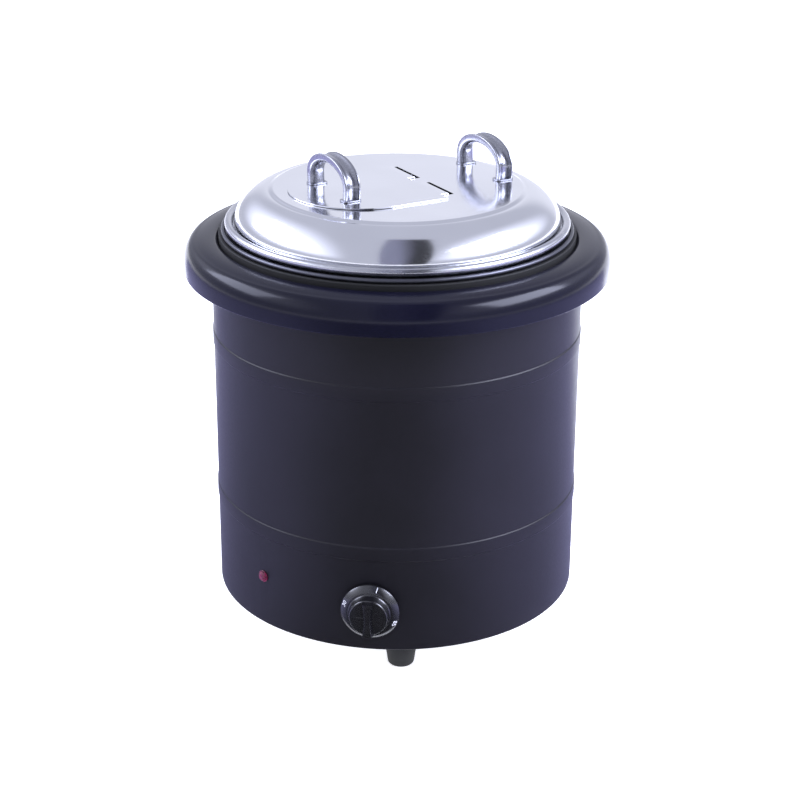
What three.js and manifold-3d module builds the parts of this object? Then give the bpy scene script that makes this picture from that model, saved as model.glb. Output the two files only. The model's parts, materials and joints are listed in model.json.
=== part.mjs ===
// A wet-heat soup kettle: a coated steel jacket on three feet, a stainless water tank with its heating
// element and controls below it, a lift-out soup pot, and a lid with a hinged serving flap.
// Millimetres, +Z up. The origin is on the kettle's axis, on the surface that its feet stand on.
// The control knob faces -Y.
import * as THREE from 'three';
import { mergeVertices } from 'three/addons/utils/BufferGeometryUtils.js';
import Module from 'manifold-3d';

const wasm = await Module();
wasm.setup();

// General fits.
const FIT = 0.3;                    // gap kept between two pieces that touch
const RUNNING = 0.3;                // radial gap round a turning or loose pin
const FACETS = 36;                  // facets round a large shell

// Soup pot.
const POT_RADIUS = 125;             // inside
const POT_DEPTH = 211.1;            // inside, up to the top of its rim flange
const POT_WALL = 1;
const POT_CORNER = 15;              // radius between wall and floor
const POT_RIM_REACH = 15.1;         // rolled rim beyond the outside of the wall
const POT_ROLL = 3.4;               // radius of the rolled rim

// Water tank.
const WATER_GAP = 5;                // round the pot
const WATER_DEPTH = 23.7;           // under the pot
const TANK_WALL = 0.8;
const TANK_CORNER = 6;
const TANK_RIM_STEP = 3;            // tank rim beyond the pot rim
const TANK_ROLL = 1.8;

// Jacket, its collar and the ring that keeps the tank's heat off it.
const FOOT_HEIGHT = 25.6;           // ground to the jacket's lower edge
const BASE_SPACE = 76.4;            // jacket's lower edge to the tank's floor
const JACKET_GAP = 19.5;            // tank wall to jacket wall
const JACKET_WALL = 1;
const JACKET_LOWER_FLANGE = 9;
const BEAD_WIDTH = 13;              // rolled stiffening beads
const BEAD_PROUD = 0.75;
const LOWER_BEAD_RISE = 85.3;       // bead centre above the jacket's lower edge
const UPPER_BEAD_DROP = 68;         // bead centre below the jacket's top
const RING_LEDGE = 2;               // heat ring beyond the tank rim
const RING_WALL = 5;
const RING_HEIGHT = 18.1;
const RING_SEAT = 2.6;              // jacket's top flange under the heat ring
const COLLAR_OVERHANG = 22.7;       // beyond the jacket wall
const COLLAR_WALL = 1.6;
const COLLAR_DROP = 13.25;          // collar's lower edge below the jacket's top
const COLLAR_RISE = 14.5;           // collar's crest above the jacket's top
const COLLAR_SIDE = 7.75;           // upright part of its side
const COLLAR_SHOULDER = 10.2;       // width of its round shoulder
const COLLAR_CROWN = 2.1;           // rise of its top from shoulder to crest
const COLLAR_INNER_EDGE = 3.5;      // radius of its rolled inner edge
const COLLAR_HEM = 1;               // radius of its lower edge

// Lid, its serving flap and the hinge between them.
const LID_SHEET = 1;
const LID_RISE = 30.6;              // top plate above the pot's flange
const LID_PLAY = 1.1;               // lid's edge inside the pot's rolled rim
const LID_EDGE_HEIGHT = 5.1;        // upright edge, down to the pot's flange
const LID_SHOULDER = 27.2;          // width of the domed shoulder
const LID_SHOULDER_POWER = 1.68;    // 2 is a true ellipse, less is flatter
const LID_CREASE = 1.5;             // width and height of the step round the top plate
const LID_TURN = 126.9;             // degrees from +X to the hinge line, about +Z
const HINGE_OFFSET = 20.6;          // hinge line behind the lid's centre
const FITTINGS_SHIFT = 4;           // flap and handles beside the lid's centre, along the hinge line
const FLAP_OPEN_ANGLE = 110;
const FLAP_WIDTH = 116;
const TAB_GAP = 16;                 // between the two tabs
const TAB_MARGIN = 12;              // tab's outer side inside the flap's side
const TAB_SIDE_PLAY = 1;
const SLOT_SHOWS = 2.8;             // width of slot that shows behind a tab
const PIN_RADIUS = 1.5;
const PIN_INSET = 6;                // pin's end inside the flap's side
const FLAP_END_INSET = 13.5;        // flap's round end inside the top plate's edge
const FLAP_OVERLAP = 5;             // flap beyond the serving opening
const HATCH_BACK = 10;              // opening's rear edge in front of the hinge axis
const LUG_WIDTH = 2;
const LUG_SIDE = 2.2;               // material beside the pin
const LUG_FLOOR = 1.3;              // and under it

// Handles.
const HANDLE_SPAN = 58;             // between the middles of its feet
const HANDLE_HEIGHT = 31;
const HANDLE_BULGE = 0.8;           // legs bow out beyond the feet
const HANDLE_WIDTH = 13.5;
const HANDLE_THICK = 8;
const HANDLE_TAB = 1.2;             // weld tab beyond each foot, all round
const HANDLE_TAB_THICK = 1;
const HANDLE_KNEE = 10;             // height at which the legs bow furthest
const HANDLE_EDGE = 1;              // flat edge of its D section
const LID_HANDLE_INSET = 19.7;      // inside the top plate's edge
const FLAP_HANDLE_INSET = 34.4;     // inside the flap's round end

// Controls.
const KNOB_RISE = 36.4;             // knob axis above the jacket's lower edge
const KNOB_RADIUS = 23.7;
const KNOB_SKIRT = 3;
const KNOB_BEVEL = 4.4;
const KNOB_BEVEL_HEIGHT = 4;
const KNOB_DEPTH = 20.4;
const KNOB_GRIP_RADIUS = 15.5;
const KNOB_BAR_WIDTH = 7;
const KNOB_BAR_HEIGHT = 6;
const KNOB_BAR_INSET = 1;           // bar's ends inside the grip
const KNOB_GRIP_DRAFT = 1;
const KNOB_STANDOFF = 0.9;          // knob's back in front of the jacket
const KNOB_HOLLOW_WALL = 3.5;
const KNOB_HOLLOW_DEPTH = 3.5;
const SHAFT_RADIUS = 3;
const SHAFT_GRIP = 8;               // length held in the knob
const SHAFT_SOCKET = 10;            // length in the thermostat
const SHAFT_HOLE_PLAY = 1;          // round the shaft in the jacket
const THERMOSTAT_SIZE = 30;
const THERMOSTAT_DEPTH = 28;
const THERMOSTAT_SCREW_BITE = 5;
const THERMOSTAT_SCREW_PITCH = 22;
const LAMP_AZIMUTH = -37.6;         // degrees from the front, towards +X
const LAMP_RISE = 43.4;
const LAMP_RADIUS = 5;
const LAMP_PROUD = 3.4;
const LAMP_STEM = 3.7;
const LAMP_DEPTH = 22;
const LAMP_SLEEVE = 2;
const LAMP_RIM = 0.8;               // upright edge of the lens
const LAMP_TABLE = 3;               // radius at the foot of its blunt tip
const LAMP_TIP = 0.7;               // height of that tip

// Heating.
const ELEMENT_RADIUS = 95;
const ELEMENT_TUBE = 4;
const ELEMENT_LEG_ANGLE = 8;        // degrees each side of the rear
const ELEMENT_LEG_DROP = 24;
const CLAMP_MARGIN = 20;            // clamp plate beyond the element's centreline
const CLAMP_THICK = 2;
const SERVICE_WINDOW = [24, 16];    // openings in clamp plate and shield for the element's legs
const SERVICE_SHIFT = 4;            // outward from the legs
const STUD_RADIUS = 3;
const NUT_ACROSS = 10;
const NUT_HEIGHT = 4;
const SHIELD_THICK = 0.8;
const SHIELD_GAP = 10;              // shield's edge inside the jacket
const CUTOUT_RADIUS = 9;
const CUTOUT_PLACE = [50, 40];
const CUTOUT_DEPTH = 18;
const CUTOUT_FLANGE = 3;
const CUTOUT_WAIST = 1.5;           // body inside its flange
const CUTOUT_PLAY = 2;              // round it in the clamp plate
const BULB_RADIUS = 3;
const BULB_LENGTH = 60;
const BULB_PLACE = -60;
const BULB_CLIP = [16, 14];
const CAPILLARY_RADIUS = 1.1;
const CAPILLARY_HOLE = 5;
const CAPILLARY_CROSSING = [-44, -62];
const WOOL_THICK = 11.7;
const WOOL_INSET = 8;               // below the jacket's top and above the tank's floor

// Base, feet and mains inlet.
const BASE_THICK = 1.2;
const FOOT_INSET = 2.1;             // inside the jacket's lower flange
const FOOT_AZIMUTH = 9.6;
const FOOT_COUNT = 3;
const FOOT_TOP_RADIUS = 14.2;
const FOOT_TREAD_RADIUS = 11;
const FOOT_ROUNDING = 3;
const FOOT_STUD_RADIUS = 3;
const FOOT_STUD_SPARE = 3;          // thread beyond its nut
const SCREW_RADIUS = 1.8;
const SCREW_HEAD_RADIUS = 3.4;
const SCREW_HEAD_HEIGHT = 2;
const SCREW_HEAD_DRAFT = 0.6;
const BASE_SCREW_LENGTH = 5;
const EARTH_SCREW_LENGTH = 7;
const VENT_RADIUS = 6;
const VENT_CIRCLE = 60;
const VENT_COUNT = 6;
const GLAND_THREAD = 7.7;
const GLAND_FLANGE = 10.5;
const GLAND_HEX_HEIGHT = 5;
const GLAND_SHOULDER = 1.5;
const GLAND_TAPER = 2;
const GLAND_BORE = 4;
const GLAND_OUT = 15;
const GLAND_IN = 13;
const GLAND_NUT_THICK = 4.5;
const BLOCK_SIZE = [44, 20, 18];
const BLOCK_PLACE = 100;
const TERMINAL_RADIUS = 3;
const TERMINAL_PITCH = 13;
const TERMINAL_DEPTH = 7;
const LEAD_RADIUS = 1.3;
const EARTH_PLACE = [60, 80];

const radians = THREE.MathUtils.degToRad;

// Radii that follow from the fits.
const potOuter = POT_RADIUS + POT_WALL;
const potRim = potOuter + POT_RIM_REACH;
const tankInner = potOuter + WATER_GAP;
const tankOuter = tankInner + TANK_WALL;
const tankRim = potRim + TANK_RIM_STEP;
const jacketInner = tankOuter + JACKET_GAP;
const jacketOuter = jacketInner + JACKET_WALL;
const ringOuter = tankRim + RING_LEDGE;
const collarInner = ringOuter + FIT;
const collarOuter = jacketOuter + COLLAR_OVERHANG;
const lidEdge = potRim - 2 * POT_ROLL - LID_PLAY;
const footCircle = jacketInner - JACKET_LOWER_FLANGE - FOOT_INSET - FOOT_TOP_RADIUS;
const plateRadius = lidEdge - LID_SHOULDER - LID_CREASE;

// Hinge sizes that follow from the fits, measured from the hinge axis. The flap's rear edge is as far
// forward as keeps it off the lid when it is fully open.
const hingeDrop = LID_SHEET + FIT + PIN_RADIUS;
const curlInner = PIN_RADIUS + RUNNING;
const curlOuter = curlInner + LID_SHEET;
const flapOver = hingeDrop + FIT + LID_SHEET;
const openAngle = radians(FLAP_OPEN_ANGLE);
const flapBack = (hingeDrop + FIT - flapOver * Math.cos(openAngle)) / Math.sin(openAngle);
const slotBack = curlOuter + SLOT_SHOWS;
const slotFront = Math.sqrt(curlOuter ** 2 - (hingeDrop - LID_SHEET) ** 2) + RUNNING;
const tabWidth = (FLAP_WIDTH - TAB_GAP) / 2 - TAB_MARGIN;
const pinLength = FLAP_WIDTH - 2 * PIN_INSET;

// Heights that follow from the fits.
const jacketBottom = FOOT_HEIGHT;
const tankBottom = jacketBottom + BASE_SPACE;
const potBottom = tankBottom + TANK_WALL + WATER_DEPTH;
const potFlange = potBottom + POT_WALL + POT_DEPTH;
const potRollZ = potFlange - POT_WALL + POT_ROLL;
const tankRimTop = potFlange - POT_WALL - FIT;
const tankFlange = tankRimTop - 2 * TANK_ROLL;
const ringTop = tankFlange - FIT;
const jacketTop = ringTop - RING_HEIGHT - FIT;
const lidTop = potFlange + LID_RISE;
const lidFoot = potFlange + FIT;
const lidEdgeTop = lidFoot + LID_EDGE_HEIGHT;
const flapTop = lidTop + FIT + LID_SHEET;
const hingeZ = lidTop - hingeDrop;
const knobZ = jacketBottom + KNOB_RISE;
const baseTop = jacketBottom + JACKET_WALL + FIT + BASE_THICK;
const baseUnder = baseTop - BASE_THICK;
const elementZ = tankBottom - FIT - ELEMENT_TUBE;
const clampTop = elementZ - ELEMENT_TUBE - FIT;
const clampUnder = clampTop - CLAMP_THICK;
const shieldTop = clampUnder - NUT_HEIGHT - 2 * FIT;
const shieldUnder = shieldTop - SHIELD_THICK;
const flapEnd = plateRadius - FLAP_END_INSET;
const legX = ELEMENT_RADIUS * Math.sin(radians(ELEMENT_LEG_ANGLE));
const legY = ELEMENT_RADIUS * Math.cos(radians(ELEMENT_LEG_ANGLE));

// How far out a flat piece of that half width may reach inside the round jacket.
const insideWall = (halfWidth) =>
  Math.sqrt(jacketInner ** 2 - halfWidth ** 2) * Math.cos(Math.PI / FACETS) - FIT;
const thermostatFace = insideWall(THERMOSTAT_SIZE / 2);
const thermostatBack = thermostatFace - THERMOSTAT_DEPTH;
const glandNutFace = insideWall(GLAND_FLANGE * 2 / Math.sqrt(3));

const paint = (colour, roughness, metalness) =>
  new THREE.MeshStandardMaterial({ color: colour, roughness, metalness });
const coated = paint(0x1d1c20, 0.4, 0.1);
const polished = paint(0xd9dadf, 0.12, 1);
const satin = paint(0xb9bbc0, 0.35, 1);
const zinc = paint(0xa9acb0, 0.45, 1);
const aluminium = paint(0xc6c8cb, 0.4, 1);
const blackPlastic = paint(0x161618, 0.35, 0);
const rubber = paint(0x1a1a1b, 0.8, 0);
const redLens = paint(0x8c1020, 0.15, 0);
const wool = paint(0xe6dfc8, 0.95, 0);
const copper = paint(0xb87348, 0.3, 1);
const ceramic = paint(0xeeeade, 0.5, 0);
const wire = paint(0xb0202a, 0.6, 0);

const kettle = new THREE.Group();

// Turns a closed three.js geometry into a solid: corners merged, pole slivers dropped, faces outward.
function solid(geometry) {
  const bare = geometry.clone();
  bare.deleteAttribute('normal');
  bare.deleteAttribute('uv');
  const merged = mergeVertices(bare, 1e-4);
  const points = merged.attributes.position.array;
  const corners = merged.index.array;
  const faces = [];
  let volume = 0;
  for (let i = 0; i < corners.length; i += 3) {
    const [a, b, c] = corners.slice(i, i + 3);
    if (a === b || b === c || c === a) continue;
    faces.push(a, b, c);
    const [p, q, r] = [a, b, c].map((k) => new THREE.Vector3().fromArray(points, 3 * k));
    volume += p.dot(q.cross(r));
  }
  if (volume < 0) faces.reverse();
  return new wasm.Manifold(new wasm.Mesh({
    numProp: 3, vertProperties: Float32Array.from(points), triVerts: Uint32Array.from(faces),
  }));
}

function shapeOf(form) {
  const { vertProperties, triVerts } = form.getMesh();
  const geometry = new THREE.BufferGeometry();
  geometry.setAttribute('position', new THREE.BufferAttribute(Float32Array.from(vertProperties), 3));
  geometry.setIndex(new THREE.BufferAttribute(Uint32Array.from(triVerts), 1));
  return geometry;
}

function add(name, form, material, parent = kettle) {
  const mesh = new THREE.Mesh(shapeOf(form), material);
  mesh.name = name;
  parent.add(mesh);
  return mesh;
}

// A profile of [radius, height] pairs turned about Z.
function turned(profile, facets = FACETS) {
  const points = profile.map(([r, z]) => new THREE.Vector2(r, z));
  const first = points[0];
  const onAxis = first.x === 0 && points.at(-1).x === 0;
  if (!onAxis) points.push(first.clone());
  return solid(new THREE.LatheGeometry(points, facets).rotateX(Math.PI / 2));
}

// Points on an arc about [r, z], from one angle to another in degrees.
function arc(r, z, across, up, from, to, steps) {
  return Array.from({ length: steps + 1 }, (_, k) => {
    const angle = radians(from + (to - from) * k / steps);
    return [r + across * Math.cos(angle), z + up * Math.sin(angle)];
  });
}

function rod(radius, from, to, x = 0, y = 0, facets = 16) {
  const length = to - from;
  const bar = new THREE.CylinderGeometry(radius, radius, length, facets);
  return solid(bar.rotateX(Math.PI / 2).translate(x, y, from + length / 2));
}

// A round hole's cutter: its flats, not its corners, are at the radius.
function bore(radius, from, to, x = 0, y = 0, facets = 12) {
  return rod(radius / Math.cos(Math.PI / facets), from, to, x, y, facets);
}

function block(width, depth, height, x, y, bottom) {
  return solid(new THREE.BoxGeometry(width, depth, height).translate(x, y, bottom + height / 2));
}

function prism(shape, from, to, curveSegments = 12) {
  const settings = { depth: to - from, bevelEnabled: false, curveSegments };
  return solid(new THREE.ExtrudeGeometry(shape, settings).translate(0, 0, from));
}

function polygon(points) {
  return new THREE.Shape(points.map(([x, y]) => new THREE.Vector2(x, y)));
}

function regular(radius, sides, turn = 0) {
  return polygon(arc(0, 0, radius, radius, turn, turn + 360 - 360 / sides, sides - 1));
}

// A section swept along a smooth curve through the points.
function swept(section, points, steps) {
  const path = new THREE.CatmullRomCurve3(points.map((p) => new THREE.Vector3(...p)));
  return solid(new THREE.ExtrudeGeometry(section, { steps, bevelEnabled: false, extrudePath: path }));
}

function around(count, from, radius) {
  return Array.from({ length: count }, (_, k) => {
    const angle = radians(from + 360 * k / count);
    return [radius * Math.sin(angle), -radius * Math.cos(angle)];
  });
}

// A frame on the jacket: its Z points straight out, its Y up. Azimuth is from the front, towards +X.
function station(azimuth, height) {
  return new THREE.Matrix4().makeRotationZ(radians(azimuth))
    .multiply(new THREE.Matrix4().makeTranslation(0, 0, height))
    .multiply(new THREE.Matrix4().makeRotationX(Math.PI / 2));
}

function moved(form, matrix) {
  return solid(shapeOf(form).applyMatrix4(matrix));
}

const front = station(0, knobZ);
const rear = station(180, knobZ);
const lampStation = station(LAMP_AZIMUTH, jacketBottom + LAMP_RISE);
const feet = around(FOOT_COUNT, FOOT_AZIMUTH, footCircle);
const screwCircle = jacketInner - JACKET_LOWER_FLANGE / 2;
const baseScrews = around(FOOT_COUNT, FOOT_AZIMUTH + 180 / FOOT_COUNT, screwCircle);
const thermostatScrews = [-1, 1].map((side) => side * THERMOSTAT_SCREW_PITCH / 2);

function beadProfile(centre) {
  const half = BEAD_WIDTH / 2;
  const flat = half - 3 * BEAD_PROUD;
  return [
    [jacketOuter, centre - half], [jacketOuter + BEAD_PROUD, centre - flat],
    [jacketOuter + BEAD_PROUD, centre + flat], [jacketOuter, centre + half],
  ];
}

function outerBody() {
  const lip = JACKET_WALL;
  let shell = turned([
    [jacketInner - JACKET_LOWER_FLANGE, jacketBottom], [jacketOuter - lip, jacketBottom],
    [jacketOuter, jacketBottom + lip],
    ...beadProfile(jacketBottom + LOWER_BEAD_RISE), ...beadProfile(jacketTop - UPPER_BEAD_DROP),
    [jacketOuter, jacketTop], [ringOuter - RING_SEAT, jacketTop],
    [ringOuter - RING_SEAT, jacketTop - JACKET_WALL], [jacketInner, jacketTop - JACKET_WALL],
    [jacketInner, jacketBottom + JACKET_WALL],
    [jacketInner - JACKET_LOWER_FLANGE, jacketBottom + JACKET_WALL],
  ]);
  const through = [jacketInner - 3 * JACKET_WALL, jacketOuter + JACKET_WALL];
  const cuts = [
    moved(bore(SHAFT_RADIUS + SHAFT_HOLE_PLAY, ...through), front),
    ...thermostatScrews.map((x) => moved(bore(SCREW_RADIUS + RUNNING, ...through, x), front)),
    moved(bore(GLAND_THREAD + RUNNING, ...through, 0, 0, 24), rear),
    moved(bore(LAMP_STEM + RUNNING, ...through), lampStation),
    ...baseScrews.map(([x, y]) => bore(SCREW_RADIUS + RUNNING, jacketBottom - 1, baseUnder, x, y)),
  ];
  for (const cut of cuts) shell = shell.subtract(cut);
  return shell;
}

function topCollar() {
  const bottom = jacketTop - COLLAR_DROP;
  const sideTop = bottom + COLLAR_SIDE;
  const crest = jacketTop + COLLAR_RISE;
  const shoulderR = collarOuter - COLLAR_SHOULDER;
  const shoulderH = crest - COLLAR_CROWN - sideTop;
  const gap = jacketOuter + 3 * FIT;
  const w = COLLAR_WALL;
  const edge = COLLAR_INNER_EDGE;
  const foot = jacketTop + FIT;
  return turned([
    [gap, bottom], [collarOuter - COLLAR_HEM, bottom], [collarOuter, bottom + COLLAR_HEM],
    ...arc(shoulderR, sideTop, COLLAR_SHOULDER, shoulderH, 0, 90, 5),
    ...arc(collarInner + edge, crest - edge, edge, edge, 90, 180, 2), [collarInner, foot],
    [collarInner + w, foot], ...arc(collarInner + edge, crest - edge, edge - w, edge - w, 180, 90, 1),
    ...arc(shoulderR, sideTop, COLLAR_SHOULDER - w, shoulderH - w, 90, 0, 3),
    [collarOuter - w, bottom + w], [gap, bottom + w],
  ]);
}

function heatRing() {
  const bottom = jacketTop + FIT;
  const inner = ringOuter - RING_WALL;
  return turned([[inner, bottom], [ringOuter, bottom], [ringOuter, ringTop], [inner, ringTop]]);
}

function waterTank() {
  const rollR = tankRim - TANK_ROLL;
  const rollZ = tankRimTop - TANK_ROLL;
  const cornerR = tankOuter - TANK_CORNER;
  const inner = TANK_CORNER - TANK_WALL;
  return turned([
    [0, tankBottom], ...arc(cornerR, tankBottom + TANK_CORNER, TANK_CORNER, TANK_CORNER, -90, 0, 2),
    [tankOuter, tankFlange], ...arc(rollR, rollZ, TANK_ROLL, TANK_ROLL, -90, 140, 5),
    [rollR - TANK_ROLL, tankFlange + TANK_WALL], [tankInner, tankFlange + TANK_WALL],
    ...arc(cornerR, tankBottom + TANK_CORNER, inner, inner, 0, -90, 2), [0, tankBottom + TANK_WALL],
  ]);
}

function insulation() {
  const [inner, outer] = [tankOuter + FIT, tankOuter + WOOL_THICK];
  const [bottom, top] = [tankBottom + WOOL_INSET, jacketTop - WOOL_INSET];
  return turned([[inner, bottom], [outer, bottom], [outer, top], [inner, top]]);
}

function insertPot() {
  const rollR = potRim - POT_ROLL;
  const cornerR = potOuter - POT_CORNER;
  const inner = POT_CORNER - POT_WALL;
  return turned([
    [0, potBottom], ...arc(cornerR, potBottom + POT_CORNER, POT_CORNER, POT_CORNER, -90, 0, 3),
    [potOuter, potFlange - POT_WALL], ...arc(rollR, potRollZ, POT_ROLL, POT_ROLL, -90, 190, 7),
    [rollR - POT_ROLL, potFlange], [POT_RADIUS, potFlange],
    ...arc(cornerR, potBottom + POT_CORNER, inner, inner, 0, -90, 3), [0, potBottom + POT_WALL],
  ]);
}

// The domed shoulder, as a superellipse from the lid's edge up to the crease.
function lidShoulder(offset, steps) {
  const foot = lidEdgeTop;
  const height = lidTop - LID_CREASE - foot;
  return Array.from({ length: steps + 1 }, (_, k) => {
    const angle = radians(90 * k / steps);
    const across = Math.cos(angle) ** (2 / LID_SHOULDER_POWER);
    const up = Math.sin(angle) ** (2 / LID_SHOULDER_POWER);
    const start = plateRadius + LID_CREASE;
    return [start + (LID_SHOULDER - offset) * across, foot + height * up - offset * up];
  });
}

function flapOutline(halfWidth, back, end) {
  const outline = new THREE.Shape();
  outline.moveTo(halfWidth, back);
  outline.lineTo(halfWidth, end - halfWidth);
  outline.absarc(0, end - halfWidth, halfWidth, 0, Math.PI, false);
  outline.lineTo(-halfWidth, back);
  return outline;
}

const tabCentres = [-1, 1].map((side) => side * (TAB_GAP + tabWidth) / 2);
const pinPlace = new THREE.Matrix4().makeTranslation(0, -HINGE_OFFSET, hingeZ)
  .multiply(new THREE.Matrix4().makeRotationY(Math.PI / 2));

function hingeRod(radius, length, x = 0, facets = 16) {
  const half = length / 2;
  return moved(rod(radius, x - half, x + half, 0, 0, facets), pinPlace);
}

const fittingsPlace = new THREE.Matrix4().makeTranslation(FITTINGS_SHIFT, 0, 0);

function lidPlate() {
  let shell = turned([
    [lidEdge - LID_SHEET, lidFoot], [lidEdge, lidFoot], ...lidShoulder(0, 7),
    [plateRadius, lidTop], [0, lidTop], [0, lidTop - LID_SHEET],
    [plateRadius - LID_SHEET / 2, lidTop - LID_SHEET], ...lidShoulder(LID_SHEET, 5).reverse(),
  ]);
  const hatchHalf = FLAP_WIDTH / 2 - FLAP_OVERLAP;
  const hatch = flapOutline(hatchHalf, HATCH_BACK - HINGE_OFFSET, flapEnd - FLAP_OVERLAP);
  const over = 2 * LID_SHEET;
  shell = shell.subtract(moved(prism(hatch, lidTop - over, lidTop + over), fittingsPlace));
  for (const x of tabCentres) {
    const middle = (slotFront - slotBack) / 2 - HINGE_OFFSET;
    const width = tabWidth + 2 * TAB_SIDE_PLAY;
    const slot = block(width, slotBack + slotFront, 2 * over, x, middle, lidTop - over);
    shell = shell.subtract(moved(slot, fittingsPlace));
  }
  return shell;
}

// The tab's side view, in front of and above the hinge axis: flat on the lid, down through the slot, and
// rolled round the pin.
function tabOutline() {
  const under = flapOver - LID_SHEET;
  const bend = LID_SHEET;
  return polygon([
    [flapBack + 1, flapOver], [bend - curlOuter, flapOver], [-curlOuter, flapOver - bend],
    ...arc(0, 0, curlOuter, curlOuter, 180, 390, 12), ...arc(0, 0, curlInner, curlInner, 390, 180, 12),
    [-curlInner, under - bend / 2], [bend / 2 - curlInner, under], [flapBack + 1, under],
  ]);
}

function lidFlap() {
  const outline = flapOutline(FLAP_WIDTH / 2, flapBack - HINGE_OFFSET, flapEnd);
  let sheet = prism(outline, flapTop - LID_SHEET, flapTop);
  for (const x of tabCentres) {
    const place = new THREE.Matrix4().makeTranslation(x - tabWidth / 2, -HINGE_OFFSET, hingeZ)
      .multiply(new THREE.Matrix4().makeBasis(
        new THREE.Vector3(0, 1, 0), new THREE.Vector3(0, 0, 1), new THREE.Vector3(1, 0, 0)));
    sheet = sheet.add(moved(prism(tabOutline(), 0, tabWidth), place));
  }
  return sheet;
}

function hingeLug(x) {
  const top = lidTop - LID_SHEET - FIT;
  const bottom = hingeZ - curlInner - LUG_FLOOR;
  const lug = block(LUG_WIDTH, 2 * (curlInner + LUG_SIDE), top - bottom, x, -HINGE_OFFSET, bottom);
  return lug.subtract(hingeRod(curlInner, 2 * LUG_WIDTH, x));
}

// An arch of D section, round outside and flat inside, standing on two weld tabs.
function handle() {
  const half = HANDLE_SPAN / 2;
  const crown = HANDLE_HEIGHT - HANDLE_THICK / 2;
  const bow = half + HANDLE_BULGE;
  const w = HANDLE_WIDTH / 2;
  const t = HANDLE_THICK / 2;
  const section = polygon([
    [-w + HANDLE_EDGE, t], [-w, t - HANDLE_EDGE], ...arc(0, 0, w, t, 180, 360, 5),
    [w, t - HANDLE_EDGE], [w - HANDLE_EDGE, t],
  ]);
  const arched = arc(0, HANDLE_KNEE, bow, crown - HANDLE_KNEE, 180, 0, 8).map(([x, z]) => [x, 0, z]);
  let arch = swept(section, [[-half, 0, 0], ...arched, [half, 0, 0]], 20);
  arch = arch.subtract(block(4 * half, 4 * w, HANDLE_THICK, 0, 0, -HANDLE_THICK));
  for (const side of [-1, 1]) {
    const length = HANDLE_THICK + 2 * HANDLE_TAB;
    const width = HANDLE_WIDTH + 2 * HANDLE_TAB;
    arch = arch.add(block(length, width, HANDLE_TAB_THICK, side * half, 0, 0));
  }
  return arch;
}

function knob() {
  const back = jacketOuter + KNOB_STANDOFF;
  const skirt = back + KNOB_SKIRT;
  const face = skirt + KNOB_BEVEL_HEIGHT;
  const tip = back + KNOB_DEPTH;
  const barFoot = tip - KNOB_BAR_HEIGHT;
  const hollow = back + KNOB_HOLLOW_DEPTH;
  const hollowR = KNOB_RADIUS - KNOB_HOLLOW_WALL;
  const body = turned([
    [0, hollow], [hollowR, hollow], [hollowR, back], [KNOB_RADIUS, back], [KNOB_RADIUS, skirt],
    [KNOB_RADIUS - KNOB_BEVEL, face], [KNOB_GRIP_RADIUS + KNOB_GRIP_DRAFT, face],
    [KNOB_GRIP_RADIUS, barFoot], [0, barFoot],
  ], 28);
  const barLength = 2 * (KNOB_GRIP_RADIUS - KNOB_BAR_INSET);
  const bar = block(KNOB_BAR_WIDTH, barLength, tip - barFoot + 1, 0, 0, barFoot - 1);
  const socket = bore(SHAFT_RADIUS + FIT, hollow - 1, hollow + SHAFT_GRIP + FIT);
  return body.add(bar).subtract(socket);
}

function thermostat() {
  const face = thermostatFace;
  const box = block(THERMOSTAT_SIZE, THERMOSTAT_SIZE, THERMOSTAT_DEPTH, 0, 0, thermostatBack);
  const shaftHole = bore(SHAFT_RADIUS + RUNNING, face - SHAFT_SOCKET - FIT, face + 1);
  const screwDepth = face - THERMOSTAT_SCREW_BITE - 1;
  const screwHoles = thermostatScrews.map((x) => bore(SCREW_RADIUS + FIT, screwDepth, face + 1, x));
  return screwHoles.reduce((form, hole) => form.subtract(hole), box.subtract(shaftHole));
}

// A pan-head screw along +Z: its head's underside is at the given height and its shank runs down.
function screw(underHead, length) {
  return turned([
    [0, underHead - length], [SCREW_RADIUS, underHead - length], [SCREW_RADIUS, underHead],
    [SCREW_HEAD_RADIUS, underHead], [SCREW_HEAD_RADIUS - SCREW_HEAD_DRAFT, underHead + SCREW_HEAD_HEIGHT],
    [0, underHead + SCREW_HEAD_HEIGHT],
  ], 12);
}

function nut(across, thread, bottom, height) {
  const hex = prism(regular(across / Math.sqrt(3), 6), bottom, bottom + height);
  return hex.subtract(bore(thread + FIT, bottom - 1, bottom + height + 1));
}

function lampLens() {
  const seat = jacketOuter + FIT;
  return turned([
    [0, seat - LAMP_DEPTH], [LAMP_STEM, seat - LAMP_DEPTH], [LAMP_STEM, seat], [LAMP_RADIUS, seat],
    [LAMP_RADIUS, seat + LAMP_RIM], [LAMP_TABLE, seat + LAMP_PROUD - LAMP_TIP], [0, seat + LAMP_PROUD],
  ], 12);
}

function lampHousing() {
  const inner = LAMP_STEM + FIT;
  const outer = inner + LAMP_SLEEVE;
  const end = insideWall(outer);
  const back = jacketOuter - LAMP_DEPTH;
  return turned([[inner, back], [outer, back], [outer, end], [inner, end]], 16);
}

function heatingElement() {
  const leg = ELEMENT_LEG_ANGLE;
  const foot = elementZ - ELEMENT_LEG_DROP;
  const onRing = (angle, z) => [
    ELEMENT_RADIUS * Math.sin(radians(angle)), ELEMENT_RADIUS * Math.cos(radians(angle)), z,
  ];
  const turns = Array.from({ length: 23 }, (_, k) => leg + 7 + (360 - 2 * leg - 14) * k / 22);
  const points = [
    onRing(leg, foot), onRing(leg, foot + 10), onRing(leg + 1, elementZ - 6), onRing(leg + 4, elementZ - 1),
    ...turns.map((angle) => onRing(angle, elementZ)),
    onRing(-leg - 4, elementZ - 1), onRing(-leg - 1, elementZ - 6), onRing(-leg, foot + 10),
    onRing(-leg, foot),
  ];
  return swept(regular(ELEMENT_TUBE, 6), points, 44);
}

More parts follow.
